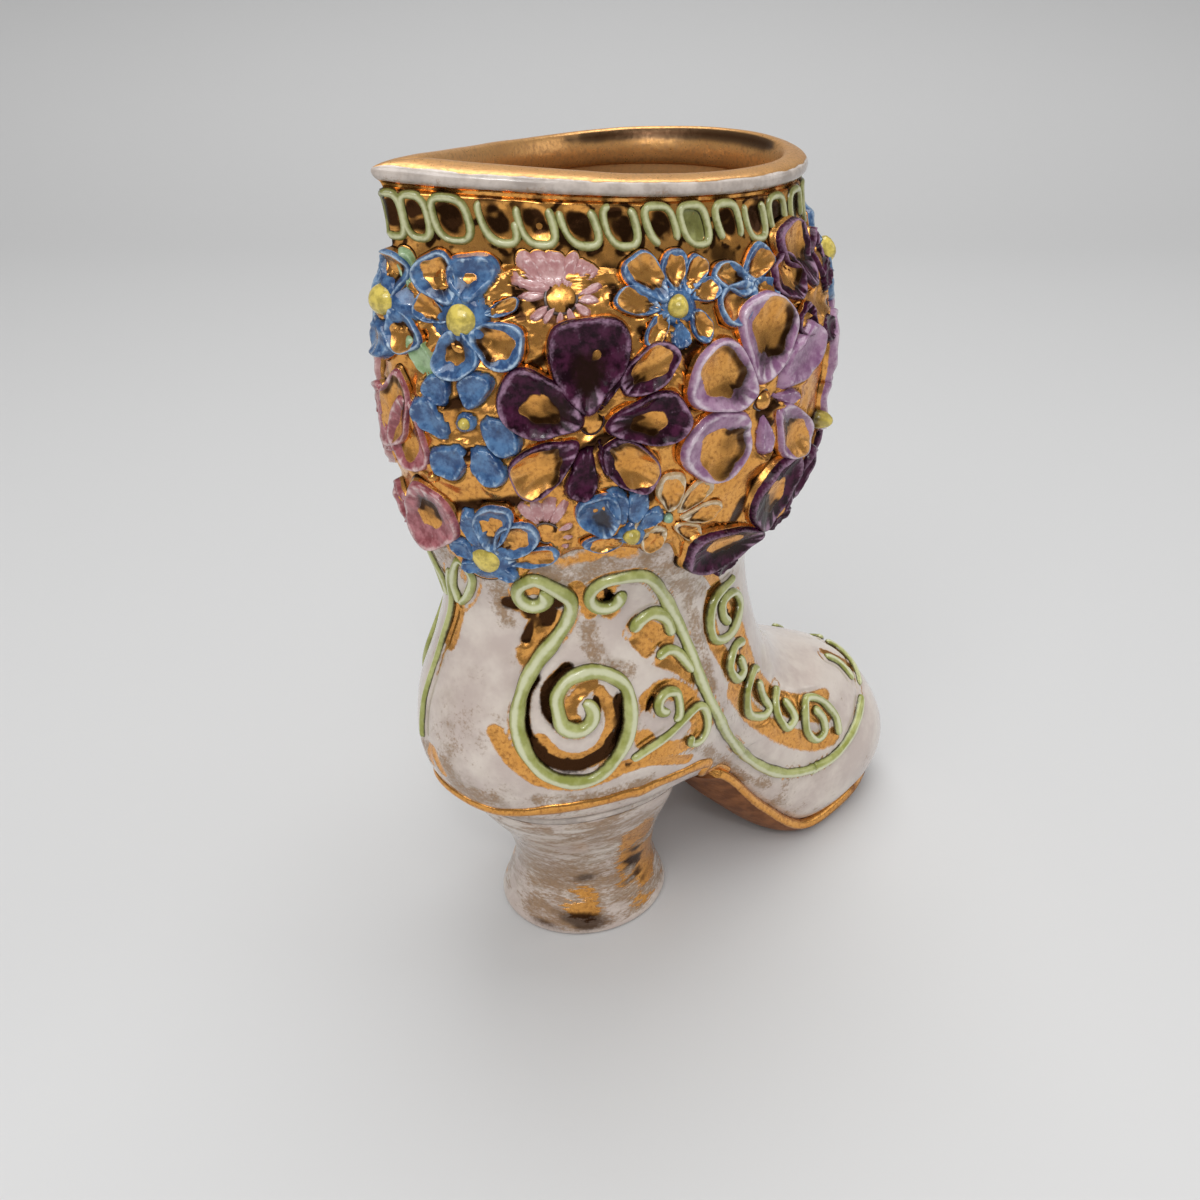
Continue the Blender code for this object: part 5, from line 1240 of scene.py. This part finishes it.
# Loops that show in front: bearing, half width and lean in mm, where the gap opens in degrees and how wide
SEEN_LOOPS = (
    (171, 1.9, 0, 90, 0), (157, 2.3, 0, 90, 0), (144.5, 3.2, 0, 90, 0), (132, 3, 0.2, 118, 62),
    (123, 3.1, -0.1, 92, 48), (113.5, 3.1, 0.2, 88, 52), (104.5, 2.9, -0.2, 100, 30),
    (95.5, 2.7, 0.1, 262, 34), (87.5, 2.6, 0, 90, 0), (78.5, 2.5, 0.1, 270, 40), (70, 2.4, 0.1, 90, 44),
    (61, 2.5, 0, 90, 0))
LOOP_LEVEL = 1.27
LOOP_HALF_HEIGHT = 0.32
LOOP_HALF_WIDTH = 0.78 * MM
LOOP_BASE = 0.30 * MM
LOOP_SPACING = 8.0 * MM
LOOP_POINTS = 46
# The loop whose middle stays green instead of gold
FILLED_LOOP = 87.5
STRIP_START_LEVEL = 0.86
STRIP_END_LEVEL = 2.06
STRIP_ROWS, STRIP_COLUMNS = 38, 460


def loop_row(run, fine):
    """Every loop round the neck: run of its middle, half width, lean, opening angle and gap."""
    loops = [(float(np.interp(bearing, fine, run)), *rest) for bearing, *rest in SEEN_LOOPS]
    first, last = min(loops)[0], max(loops)[0]
    unseen = run[-1] - (last - first)
    count = int(round(unseen / LOOP_SPACING))
    rng = np.random.default_rng(7)
    for index in range(1, count):
        gap = rng.uniform(25, 55) if rng.uniform() < 0.5 else 0.0
        loops.append(((last + unseen * index / count) % run[-1], rng.uniform(2.5, 3.2),
                      rng.uniform(-0.3, 0.3), rng.choice((90.0, 100.0, 265.0)), gap))
    return loops


def lay_strip(bm, loops, run, fine):
    """Gilded strip behind the loops, sunk and darkened inside each of them."""
    wanted = np.linspace(0, run[-1], STRIP_COLUMNS, endpoint=False)
    level, bearing = np.meshgrid(np.linspace(STRIP_START_LEVEL, STRIP_END_LEVEL, STRIP_ROWS),
                                 np.interp(wanted, run, fine), indexing="ij")
    inside = np.full(level.shape, 9.0)
    for place, half_width, *_ in loops:
        apart = (wanted - place + run[-1] / 2) % run[-1] - run[-1] / 2
        inside = np.minimum(inside, np.hypot((apart / (half_width * MM))[None, :],
                                             (level - LOOP_LEVEL) / LOOP_HALF_HEIGHT))
    flat = boot(level, bearing)
    rough, grain = lumps(flat, 3.6 * MM, 4.0), lumps(flat, 1.6 * MM, 6.0)
    edge = (ramp(level, STRIP_START_LEVEL, STRIP_START_LEVEL + 0.06)
            * (1 - ramp(level, 1.95, STRIP_END_LEVEL)))
    rise = (0.55 * MM + 0.35 * MM * rough) * edge - 0.30 * MM * (1 - ramp(inside, 0.6, 1.1))
    outer = raised(level, bearing, rise)
    under = raised(level[::-12], bearing[::-12], np.full(level[::-12].shape, TUCK))
    dark = np.clip(0.95 * (1 - ramp(inside, 0.35, 1.05)) * ramp(rough + 0.6 * grain, -0.9, 0.4)
                   + 0.75 * np.exp(-((inside - 1.35) / 0.16) ** 2) * ramp(grain, -0.3, 0.3)
                   + 0.5 * ramp(-rough, 0.0, 0.5) + 0.12, 0, 1)
    gilt = np.clip(ramp(inside, 0.7, 1.0) + (np.abs(bearing - FILLED_LOOP) > 5.5), 0, 1)
    hidden = np.ones(under.shape[:2])
    tints = {"gilt": np.concatenate([gilt, hidden]),
             "dark": np.concatenate([dark * (0.35 + 0.65 * gilt), hidden])}
    lay_grid(bm, np.concatenate([outer, under]), tints, closed_rows=True)


def build_loops(material, height):
    """Row of upright green loops trailed on a gilded strip round the neck."""
    fine = np.linspace(0, 360, 1441)
    run = running_length(boot(LOOP_LEVEL, fine))
    loops = loop_row(run, fine)
    bm = bmesh.new()
    lay_strip(bm, loops, run, fine)
    for place, half_width, lean, opening, gap in loops:
        angles = np.radians(np.linspace(opening + gap, opening + 360 - gap, LOOP_POINTS, endpoint=gap > 0))
        squared = 1 + 0.10 * np.sin(2 * angles) ** 2
        up = np.sin(angles) * squared
        along = place + half_width * MM * np.cos(angles) * squared + lean * MM * up
        swept_ridge(bm, LOOP_LEVEL - LOOP_HALF_HEIGHT * up, np.interp(along % run[-1], run, fine),
                    LOOP_HALF_WIDTH, height, LOOP_BASE, LOOP_PROFILE, closed=gap == 0)
    finish_piece(bm, "loop_band_trailed", material, "loop_band")


def build_flowers(relief):
    """One piece for each flower, with its petals and domed centre."""
    for flower, surfaces, boss in laid_flowers(relief):
        bm = bmesh.new()
        for points, tints, _ in surfaces:
            lay_dome(bm, points, tints)
        if boss is not None:
            lay_dome(bm, *boss_surface(boss))
        finish_piece(bm, flower.name + "_petals", glaze(flower.glaze), flower.name)


def build_leaves(material, relief):
    """One piece for each leaf sprig."""
    for name, level, bearing, angle, length, width in LEAVES:
        leaf = Petal(level, bearing, angle, length, width, "solid")
        points, tints, _ = petal_surface(leaf, LEAF_RELIEF * relief, 1.0)
        bm = bmesh.new()
        lay_dome(bm, points, tints)
        finish_piece(bm, name + "_sprig", material, name)


def build_scrolls(material, rise):
    """One piece for each trailed scroll on each side, higher where its ridge is wider."""
    for (name, side), lines in scroll_lines().items():
        bm = bmesh.new()
        for (level, bearing), half_width in zip(lines, SCROLL_HALF_WIDTHS[name]):
            swept_ridge(bm, level, bearing, half_width * MM, rise + 0.5 * half_width * MM, 0.0,
                        SCROLL_PROFILE)
        node = name + ("_right" if side > 0 else "_left")
        finish_piece(bm, node + "_trail", material, node)


SEAT_BACK, SEAT_BREAST, SEAT_HALF_WIDTH, SEAT_SQUARENESS = 32.5 * MM, 18.5 * MM, 25.5 * MM, 3.2
SEAT_MIDDLE = (SEAT_BREAST - SEAT_BACK) / 2
SEAT_OVERHANG = 0.3 * MM
SEAT_COLUMNS = 240
# Section of the seat's slab: share of its outline, and depth in mm under the boot
SEAT_ROWS = ((0.0, 0.1), (0.5, 0.1), (0.8, 0.1), (0.93, 0.1), (0.975, 0.1), (0.985, 0.1), (0.995, 0.5),
             (0.998, 1.0), (0.995, 1.5), (0.985, 1.9), (0.93, 1.95), (0.8, 1.95), (0.5, 1.95), (0.0, 1.95))
# Gilded line from the sole over the shank and round the back, above the heel
HEEL_LINE = (
    (14.25, 128), (13.7, 118), (13.1, 103), (12.5, 92.5), (12, 88.5), (11.5, 87.5), (11.2, 91),
    (11.05, 94.5), (10.95, 99), (10.95, 104), (10.82, 108), (10.73, 117.5), (10.68, 124.5), (10.66, 130.5),
    (10.66, 137), (10.71, 147), (10.76, 155.5), (10.71, 163.5), (10.6, 172), (10.55, 180))
GILT_LINE_PROFILE = tuple((across, up, 0, 0, 1) for across, up, *_ in LOOP_PROFILE)
GILT_LINE_STEP = 0.6 * MM
GILT_LINE_HALF_WIDTH, GILT_LINE_HEIGHT, GILT_LINE_BASE = 1.45 * MM, 0.85 * MM, 0.05 * MM
# Length and width of the heel's foot and of its waist
HEEL_FOOT = np.array((45.4 * MM, 42.0 * MM))
HEEL_WAIST = np.array((37.5 * MM, 35.0 * MM))
HEEL_TOP_SHARES = (0.0, 0.4, 0.68, 0.84, 0.93, 1.0)
HEEL_TOP_DROP = 2.0 * MM
HEEL_COLUMNS = 260
# Share of the heel's height, share of the seat's outline, share of the foot's spread
HEEL_ROWS = np.array((
    (1, 1, 0), (0.93, 0.93, 0), (0.8, 0.66, 0), (0.64, 0.3, 0), (0.48, 0.08, 0), (0.32, 0, 0),
    (0.2, 0, 0.33), (0.09, 0, 0.75), (0.03, 0, 1), (0, 0, 0.75)))


def foot_tree():
    """Search tree of the foot's faces, to fit the seat and the heel to its underside."""
    mesh = bpy.data.objects["boot_foot"].data
    return BVHTree.FromPolygons([vertex.co for vertex in mesh.vertices],
                                [tuple(polygon.vertices) for polygon in mesh.polygons])


def seat_outline(grow, columns):
    """Plan of the heel seat: round at the back, square across the breast."""
    reach = (SEAT_BREAST + SEAT_BACK) / 2 + grow
    angle = np.linspace(0, 2 * math.pi, columns, endpoint=False)
    cosine, sine = np.cos(angle), np.sin(angle)
    power = np.where(cosine > 0, 2.0 / SEAT_SQUARENESS, 1.0)
    return np.stack([SEAT_MIDDLE + reach * np.sign(cosine) * np.abs(cosine) ** power,
                     -(SEAT_HALF_WIDTH + grow) * np.sign(sine) * np.abs(sine) ** power], -1)


def under_row(tree, outline, share, drop):
    """Row of points under the boot at a share of the outline, a little below its underside."""
    middle = np.array((SEAT_MIDDLE, 0.0))
    plan = middle + (outline - middle) * share
    heights = [tree.ray_cast(Vector((x, y, -0.05)), Vector((0, 0, 1)))[0].z for x, y in plan]
    return np.column_stack([plan, np.array(heights) - drop])


def build_heel_seat(material, tree):
    """Thin slab over the heel, its rounded gilded edge standing out as a line."""
    outline = seat_outline(SEAT_OVERHANG, SEAT_COLUMNS)
    points = np.array([under_row(tree, outline, share, drop * MM) for share, drop in SEAT_ROWS])
    rough = lumps(points, 5 * MM, 6.0)
    other_side = tuple((level, 360 - bearing) for level, bearing in HEEL_LINE[-2::-1])
    level, bearing = line_on_boot(HEEL_LINE + other_side, 1, GILT_LINE_STEP)
    bm = bmesh.new()
    swept_ridge(bm, level, bearing, GILT_LINE_HALF_WIDTH, GILT_LINE_HEIGHT, GILT_LINE_BASE,
                GILT_LINE_PROFILE)
    lay_grid(bm, points, {"smoke": 0.4 * ramp(rough, -0.2, 0.5), "dark": 0.5 * ramp(-rough, 0.1, 0.5)},
             poles=(True, True))
    finish_piece(bm, "heel_seat_line", material, "heel_seat")


def heel_points(tree, angle):
    """Rows of the heel from the middle of its top, down the waist, to the middle of its foot."""
    outline = seat_outline(0.0, HEEL_COLUMNS)
    rows = [under_row(tree, outline, share, HEEL_TOP_DROP) for share in HEEL_TOP_SHARES]
    top = rows[-1]
    for height, seat_share, spread in smooth_values(HEEL_ROWS, np.linspace(0, len(HEEL_ROWS) - 1, 90))[1:]:
        length, width = HEEL_WAIST + (HEEL_FOOT - HEEL_WAIST) * spread
        oval = np.stack([length / 2 * np.cos(angle), -width / 2 * np.sin(angle)], -1)
        plan = oval + (top[:, :2] - oval) * max(seat_share, 0.0)
        rows.append(np.column_stack([plan, top[:, 2] * max(height, 0.0)]))
    rows += [rows[-1] * 0.6 * (1, 1, 0), rows[-1] * 0.0]
    return np.array(rows), top[:, 2].max()


def build_heel(material, tree):
    """Waisted heel, white with dragged bands of brown and gold."""
    angle = np.linspace(0, 2 * math.pi, HEEL_COLUMNS, endpoint=False)
    points, top_height = heel_points(tree, angle)
    bearing = np.degrees(angle)
    height = points[..., 2]
    rough = lumps(points * np.array((1.0, 1.0, 1.6)), 8 * MM, 8.0)
    drawn = lumps(points * np.array((1.0, 1.0, 4.0)), 7 * MM, 3.0)

    def dab(turn, spread, rise, reach):
        """Soft patch at a bearing and a height in mm."""
        return np.exp(-((bearing - turn) / spread) ** 2 - ((height - rise * MM) / (reach * MM)) ** 2)

    foot_edge = 1 - ramp(height + 1.2 * MM * rough, 2.0 * MM, 3.6 * MM)
    front = 1 - ramp(np.abs(bearing - 180), 80, 115)
    golden = (0.95 * dab(126, 17, 9, 6.0) + 1.05 * dab(72, 27, 14, 13) + 0.75 * dab(80, 15, 29, 8)
              + 0.8 * dab(230, 30, 9, 9) + 0.6 * dab(0, 50, 8, 12))
    brown = (1.25 * dab(131, 25, 3.6, 2.2) + 0.8 * dab(126, 18, 17, 1.8) + 0.6 * dab(84, 12, 17, 9)
             + 0.9 * dab(160, 15, 5.5, 3.0))
    under_line = np.exp(-((height - top_height) / (15 * MM)) ** 2)
    smoke = (0.85 * under_line * front * ramp(drawn, -0.45, 0.25) + 0.85 * dab(150, 50, 17, 9)
             + 0.9 * golden + 0.9 * brown + 0.2) * (1 - 0.6 * foot_edge)
    dark = 0.95 * brown * ramp(rough, -0.7, 0.3) + 0.45 * golden * ramp(-drawn, -0.2, 0.5)
    tints = {"gilt": np.clip(golden * ramp(rough, -0.75, 0.2) * (1 - 0.8 * foot_edge), 0, 1),
             "smoke": np.clip(smoke, 0, 1), "dark": np.clip(dark, 0, 1)}
    bm = bmesh.new()
    lay_grid(bm, points, tints, poles=(True, True))
    finish_piece(bm, "heel_glazed", material, "heel")


SOLE_LEVELS = np.linspace(14.0, 18.5, 120)
SOLE_BEARINGS = np.linspace(126.0, 234.0, 64)
SOLE_THICKNESS = 2.9 * MM
# Depth under the boot and bulge outwards of the sole's side, in mm, from the ground up
SOLE_SIDE = ((2.2, 0.2), (1.4, 0.7), (0.7, 0.8), (0.0, 0.3))


def build_sole(material):
    """Brown sole with a gilded side, worn back to brown under the toe."""
    level, bearing = np.meshgrid(SOLE_LEVELS, SOLE_BEARINGS, indexing="ij")
    place, normal = boot(level, bearing), boot_normal(level, bearing)
    low = place + normal * SOLE_THICKNESS
    low[..., 2] = np.maximum(low[..., 2], 0.0)
    bulge = np.sign(place[..., 1:2]) * np.array((0, 1.0, 0))
    rings = [place + normal * depth * MM + bulge * out * MM for depth, out in SOLE_SIDE]
    for ring in rings:
        ring[..., 2] = np.maximum(ring[..., 2], 0.05 * MM)
    left, right = [ring[:, -1:] for ring in rings], [ring[:, :1] for ring in rings[::-1]]
    top = place[:, ::-4] + normal[:, ::-4] * 0.05 * MM
    points = np.concatenate([low, *left, top, *right], 1)
    gilt = np.zeros(points.shape[:2])
    start, side_rows = low.shape[1], len(SOLE_SIDE)
    gilt[:, start:start + side_rows], gilt[:, -side_rows:] = (1, 1, 1, 0.9), (0.9, 1, 1, 1)
    gilt[:, :3], gilt[:, start - 3:start] = (1, 0.8, 0.3), (0.3, 0.8, 1)
    patches = 0.35 + 0.65 * ramp(lumps(points, 6 * MM, 4.0), -0.3, 0.3)
    gilt *= 1 - 0.6 * ramp(SOLE_LEVELS, 16.2, 17.3)[:, None] * patches
    bm = bmesh.new()
    lay_grid(bm, np.concatenate([pole_row(points[0]), points, pole_row(points[-1])]),
             {"gilt": np.vstack([gilt[:1], gilt, gilt[-1:]])}, poles=(True, True))
    finish_piece(bm, "sole_gilded", material, "sole")


SWEEP_HEADING, SWEEP_ASIDE = np.array((0.602, 0.799, 0)), np.array((0.799, -0.602, 0))
# The floor runs from its front edge to the bend, turns up on a quarter circle and ends at the top
SWEEP_FRONT, SWEEP_BEND, SWEEP_RADIUS, SWEEP_TOP, SWEEP_HALF_WIDTH = -1.2, 0.75, 0.5, 2.4, 2.6
FLOOR_GAP = 0.05 * MM
# Painted shade: the backdrop has this share of the floor's brightness, and darkens between the two heights
BACKDROP_SHADE_SHARE = 0.53
BACKDROP_START, BACKDROP_END = 0.04, 0.40
# Each lamp: place, the point that it looks at, length and width, and the setting that holds its power
LAMPS = (("key_softbox", (-0.70, -0.60, 1.15), (0, 0, 0.09), (1.0, 0.8), "key_power"),
         ("top_softbox", (0.25, 0.25, 1.25), (0.03, 0, 0.1), (0.9, 0.9), "top_power"),
         ("glint_lamp", (-0.42, -0.62, 0.80), (0, 0, 0.12), (0.09, 0.07), "glint_power"),
         ("side_softbox", (0.95, -0.55, 0.55), (0.03, 0, 0.1), (0.5, 0.7), "side_power"))
CAMERA_PLACE = (-0.1491, -0.2050, 0.2305)
CAMERA_HEADING = (0.6018, 0.7986)
CAMERA_TILT = math.radians(29.3)
CAMERA_LENS, CAMERA_SENSOR = 36.3, 36.0


def sweep_material(floor_color):
    """Pale floor, a little uneven, with painted shade that turns it darker up the backdrop."""
    material = bpy.data.materials.new("studio_sweep")
    material.use_nodes = True
    nodes = Nodes(material.node_tree)
    shader = material.node_tree.nodes["Principled BSDF"]
    place = nodes.add("ShaderNodeTexCoord").outputs["Object"]
    floor = nodes.mix(nodes.noise(place, 2.0, 2.0), rgba([value * 0.97 for value in floor_color]),
                      rgba(floor_color))
    height = nodes.add("ShaderNodeSeparateXYZ")
    nodes.set(height.inputs[0], place)
    # Painted shade up the backdrop
    backdrop = nodes.between(height.outputs[2], BACKDROP_START, BACKDROP_END)
    nodes.set(shader.inputs["Base Color"],
              nodes.mix(backdrop, floor, rgba([value * BACKDROP_SHADE_SHARE for value in floor_color])))
    shader.inputs["Roughness"].default_value = 0.6
    return material


def build_sweep(floor_color):
    """Floor that curves up into a backdrop."""
    turn = np.linspace(0, math.pi / 2, 14)[1:]
    depths = np.concatenate([np.linspace(SWEEP_FRONT, SWEEP_BEND, 8),
                             SWEEP_BEND + SWEEP_RADIUS * np.sin(turn), [SWEEP_BEND + SWEEP_RADIUS]])
    heights = np.concatenate([np.zeros(8), SWEEP_RADIUS - SWEEP_RADIUS * np.cos(turn), [SWEEP_TOP]])
    spread = np.linspace(-SWEEP_HALF_WIDTH, SWEEP_HALF_WIDTH, 9)
    points = (depths[:, None, None] * SWEEP_HEADING + heights[:, None, None] * np.array((0, 0, 1.0))
              + spread[None, :, None] * SWEEP_ASIDE) - np.array((0, 0, FLOOR_GAP))
    bm = bmesh.new()
    lay_grid(bm, points, {}, hoop=False)
    mesh = bpy.data.meshes.new("studio_sweep")
    bm.to_mesh(mesh)
    bm.free()
    mesh.shade_smooth()
    if mesh.polygons[0].normal.z < 0:
        mesh.flip_normals()
    mesh.materials.append(sweep_material(floor_color))
    sweep = bpy.data.objects.new("studio_sweep", mesh)
    bpy.context.scene.collection.objects.link(sweep)


def build_lights(settings):
    """Even light from all round, weaker in mirror-like reflections, and four lamps."""
    world = bpy.data.worlds.new("studio")
    world.use_nodes = True
    nodes = Nodes(world.node_tree)
    background = world.node_tree.nodes["Background"]
    background.inputs[0].default_value = (1.0, 1.0, 1.0, 1)
    mirrored = nodes.add("ShaderNodeLightPath").outputs["Is Glossy Ray"]
    nodes.set(background.inputs[1], nodes.between(mirrored, 0.0, 1.0, settings.world_strength,
                                                  settings.world_strength * 0.5))
    bpy.context.scene.world = world
    for name, place, aim, (length, width), power in LAMPS:
        light = bpy.data.lights.new(name, "AREA")
        light.shape, light.size, light.size_y = "RECTANGLE", length, width
        light.energy = getattr(settings, power)
        lamp = bpy.data.objects.new(name, light)
        bpy.context.scene.collection.objects.link(lamp)
        lamp.location = place
        lamp.rotation_euler = (Vector(aim) - Vector(place)).to_track_quat("-Z", "Y").to_euler()


def build_camera():
    """Camera at the photograph's viewing angle."""
    camera = bpy.data.cameras.new("camera")
    camera.lens, camera.sensor_width, camera.clip_start = CAMERA_LENS, CAMERA_SENSOR, 0.01
    eye = bpy.data.objects.new("camera", camera)
    bpy.context.scene.collection.objects.link(eye)
    eye.location = CAMERA_PLACE
    ahead, aside = CAMERA_HEADING
    gaze = Vector((ahead * math.cos(CAMERA_TILT), aside * math.cos(CAMERA_TILT), -math.sin(CAMERA_TILT)))
    eye.rotation_euler = gaze.to_track_quat("-Z", "Y").to_euler()
    bpy.context.scene.camera = eye
    bpy.context.scene.view_settings.view_transform = "Standard"


def length_setting(name, description, default):
    return bpy.props.FloatProperty(name=name, description=description, default=default, min=0.0,
                                   max=2 * default, precision=5, unit="LENGTH")


def power_setting(name, description, default):
    return bpy.props.FloatProperty(name=name, description=description, default=default, min=0.0,
                                   unit="POWER")


def color_setting(name, description, default):
    return bpy.props.FloatVectorProperty(name=name, description=description, default=default, size=3,
                                         min=0.0, max=1.0, subtype="COLOR")


class BootVaseSizes(bpy.types.PropertyGroup):
    """Heights of what stands out from the clay."""
    petal_relief: bpy.props.FloatProperty(
        name="Petal relief", description="Height of the petals and leaves, where 1 is as first modelled",
        default=1.0, min=0.2, max=1.3, subtype="FACTOR")
    ground_rise: length_setting("Gilded ground", "How far the gold between the petals stands out", 0.00075)
    loop_height: length_setting("Loop height", "Thickness of the trailed loops under the lip", 0.00095)
    scroll_rise: length_setting("Scroll height", "Least height of the trailed scrolls on the foot", 0.00055)


class BootVaseColors(bpy.types.PropertyGroup):
    """Main colours of the glazes and the gold."""
    gold_bright: color_setting("Bright gold", "Gold lustre where it is thickest", GOLD_BRIGHT)
    gold_deep: color_setting("Deep gold", "Gold lustre where it is thinnest", GOLD_DEEP)
    porcelain: color_setting("Foot", "White glaze of the foot", GLAZES["porcelain"].middle)
    heel: color_setting("Heel", "White glaze of the heel", GLAZES["heel"].middle)
    sole_brown: color_setting("Sole", "Brown glaze of the sole", GLAZES["sole_brown"].middle)
    loop_green: color_setting("Loops", "Green glaze of the loops", GLAZES["loop_green"].middle)
    scroll_green: color_setting("Scrolls", "Green glaze of the scrolls", GLAZES["scroll_green"].middle)
    leaf: color_setting("Leaves", "Green glaze of the leaf sprigs", GLAZES["leaf"].middle)
    blue: color_setting("Blue flowers", "Glaze of the blue flowers", GLAZES["blue"].middle)
    plum: color_setting("Plum flowers", "Glaze of the pansies and plum flowers", GLAZES["plum"].middle)
    lilac: color_setting("Lilac flowers", "Glaze of the lilac flowers", GLAZES["lilac"].middle)
    pink: color_setting("Pink flowers", "Glaze of the pink asters", GLAZES["pink"].middle)
    rose: color_setting("Rose flowers", "Glaze of the rose-red flowers", GLAZES["rose"].middle)
    cream: color_setting("Cream flowers", "Glaze of the cream asters", GLAZES["cream"].middle)


class BootVaseStage(bpy.types.PropertyGroup):
    """Floor and lights round the vase."""
    floor_color: color_setting("Floor colour", "Colour of the studio sweep", (0.68, 0.68, 0.68))
    world_strength: bpy.props.FloatProperty(
        name="Surrounding light", description="Strength of the light from all round", default=0.46, min=0.0)
    key_power: power_setting("Key light", "Power of the softbox behind the camera", 7.5)
    top_power: power_setting("Top light", "Power of the softbox overhead", 7.5)
    glint_power: power_setting("Glint", "Power of the small lamp that makes the highlights", 0.7)
    side_power: power_setting("Side light", "Power of the softbox beside the toe", 1.0)


class BOOTVASE_OT_glazes(bpy.types.Operator):
    """Mix the glazes and the gold lustre"""
    bl_idname = "boot_vase.glazes"
    bl_label = "Glazes"
    bl_options = {"REGISTER", "UNDO"}

    def execute(self, context):
        make_materials(context.scene.boot_vase_colors)
        return {"FINISHED"}


class BOOTVASE_OT_boot(bpy.types.Operator):
    """Build the shaft and the foot of the boot"""
    bl_idname = "boot_vase.boot"
    bl_label = "Boot"
    bl_options = {"REGISTER", "UNDO"}

    def execute(self, context):
        sizes = context.scene.boot_vase_sizes
        build_shaft(glaze("shaft"), sizes.petal_relief, sizes.ground_rise)
        build_foot(glaze("porcelain"))
        return {"FINISHED"}


class BOOTVASE_OT_rim(bpy.types.Operator):
    """Build the gilded lip"""
    bl_idname = "boot_vase.rim"
    bl_label = "Rim"
    bl_options = {"REGISTER", "UNDO"}

    def execute(self, context):
        build_rim(glaze("gold_lustre"))
        return {"FINISHED"}


class BOOTVASE_OT_loops(bpy.types.Operator):
    """Trail the loops round the neck"""
    bl_idname = "boot_vase.loops"
    bl_label = "Loops"
    bl_options = {"REGISTER", "UNDO"}

    def execute(self, context):
        build_loops(glaze("loop_green"), context.scene.boot_vase_sizes.loop_height)
        return {"FINISHED"}


class BOOTVASE_OT_flowers(bpy.types.Operator):
    """Press the flowers and leaves onto the shaft"""
    bl_idname = "boot_vase.flowers"
    bl_label = "Flowers"
    bl_options = {"REGISTER", "UNDO"}

    def execute(self, context):
        relief = context.scene.boot_vase_sizes.petal_relief
        build_flowers(relief)
        build_leaves(glaze("leaf"), relief)
        return {"FINISHED"}


class BOOTVASE_OT_scrolls(bpy.types.Operator):
    """Trail the scrolls on the foot"""
    bl_idname = "boot_vase.scrolls"
    bl_label = "Scrolls"
    bl_options = {"REGISTER", "UNDO"}

    def execute(self, context):
        build_scrolls(glaze("scroll_green"), context.scene.boot_vase_sizes.scroll_rise)
        return {"FINISHED"}


class BOOTVASE_OT_heel(bpy.types.Operator):
    """Build the heel seat and the heel under the foot"""
    bl_idname = "boot_vase.heel"
    bl_label = "Heel"
    bl_options = {"REGISTER", "UNDO"}

    def execute(self, context):
        tree = foot_tree()
        build_heel_seat(glaze("gold_lustre"), tree)
        build_heel(glaze("heel"), tree)
        return {"FINISHED"}


class BOOTVASE_OT_sole(bpy.types.Operator):
    """Build the sole"""
    bl_idname = "boot_vase.sole"
    bl_label = "Sole"
    bl_options = {"REGISTER", "UNDO"}

    def execute(self, context):
        build_sole(glaze("sole_brown"))
        return {"FINISHED"}


class BOOTVASE_OT_stage(bpy.types.Operator):
    """Set up the sweep, the lights and the camera"""
    bl_idname = "boot_vase.stage"
    bl_label = "Stage"
    bl_options = {"REGISTER", "UNDO"}

    def execute(self, context):
        settings = context.scene.boot_vase_stage
        build_sweep(settings.floor_color)
        build_lights(settings)
        build_camera()
        return {"FINISHED"}


SETTINGS = {"boot_vase_sizes": BootVaseSizes, "boot_vase_colors": BootVaseColors,
            "boot_vase_stage": BootVaseStage}
OPERATORS = (BOOTVASE_OT_glazes, BOOTVASE_OT_boot, BOOTVASE_OT_rim, BOOTVASE_OT_loops, BOOTVASE_OT_flowers,
             BOOTVASE_OT_scrolls, BOOTVASE_OT_heel, BOOTVASE_OT_sole, BOOTVASE_OT_stage)


class BOOTVASE_PT_panel(bpy.types.Panel):
    """Settings and building steps of the boot vase"""
    bl_idname = "BOOTVASE_PT_panel"
    bl_label = "Boot vase"
    bl_space_type = "VIEW_3D"
    bl_region_type = "UI"
    bl_category = "Boot vase"

    def draw(self, context):
        for name, group in SETTINGS.items():
            box = self.layout.box()
            for setting in group.__annotations__:
                box.prop(getattr(context.scene, name), setting)
        for operator in OPERATORS:
            self.layout.operator(operator.bl_idname)


CLASSES = (*SETTINGS.values(), *OPERATORS, BOOTVASE_PT_panel)


def register():
    for entry in CLASSES:
        bpy.utils.register_class(entry)
    for name, group in SETTINGS.items():
        setattr(bpy.types.Scene, name, bpy.props.PointerProperty(type=group))


def unregister():
    for name in SETTINGS:
        delattr(bpy.types.Scene, name)
    for entry in reversed(CLASSES):
        bpy.utils.unregister_class(entry)


def main():
    register()
    bpy.ops.boot_vase.glazes()
    bpy.ops.boot_vase.boot()
    bpy.ops.boot_vase.rim()
    bpy.ops.boot_vase.loops()
    bpy.ops.boot_vase.flowers()
    bpy.ops.boot_vase.scrolls()
    bpy.ops.boot_vase.heel()
    bpy.ops.boot_vase.sole()
    bpy.ops.boot_vase.stage()
    bpy.context.view_layer.update()


if __name__ == "__main__":
    main()
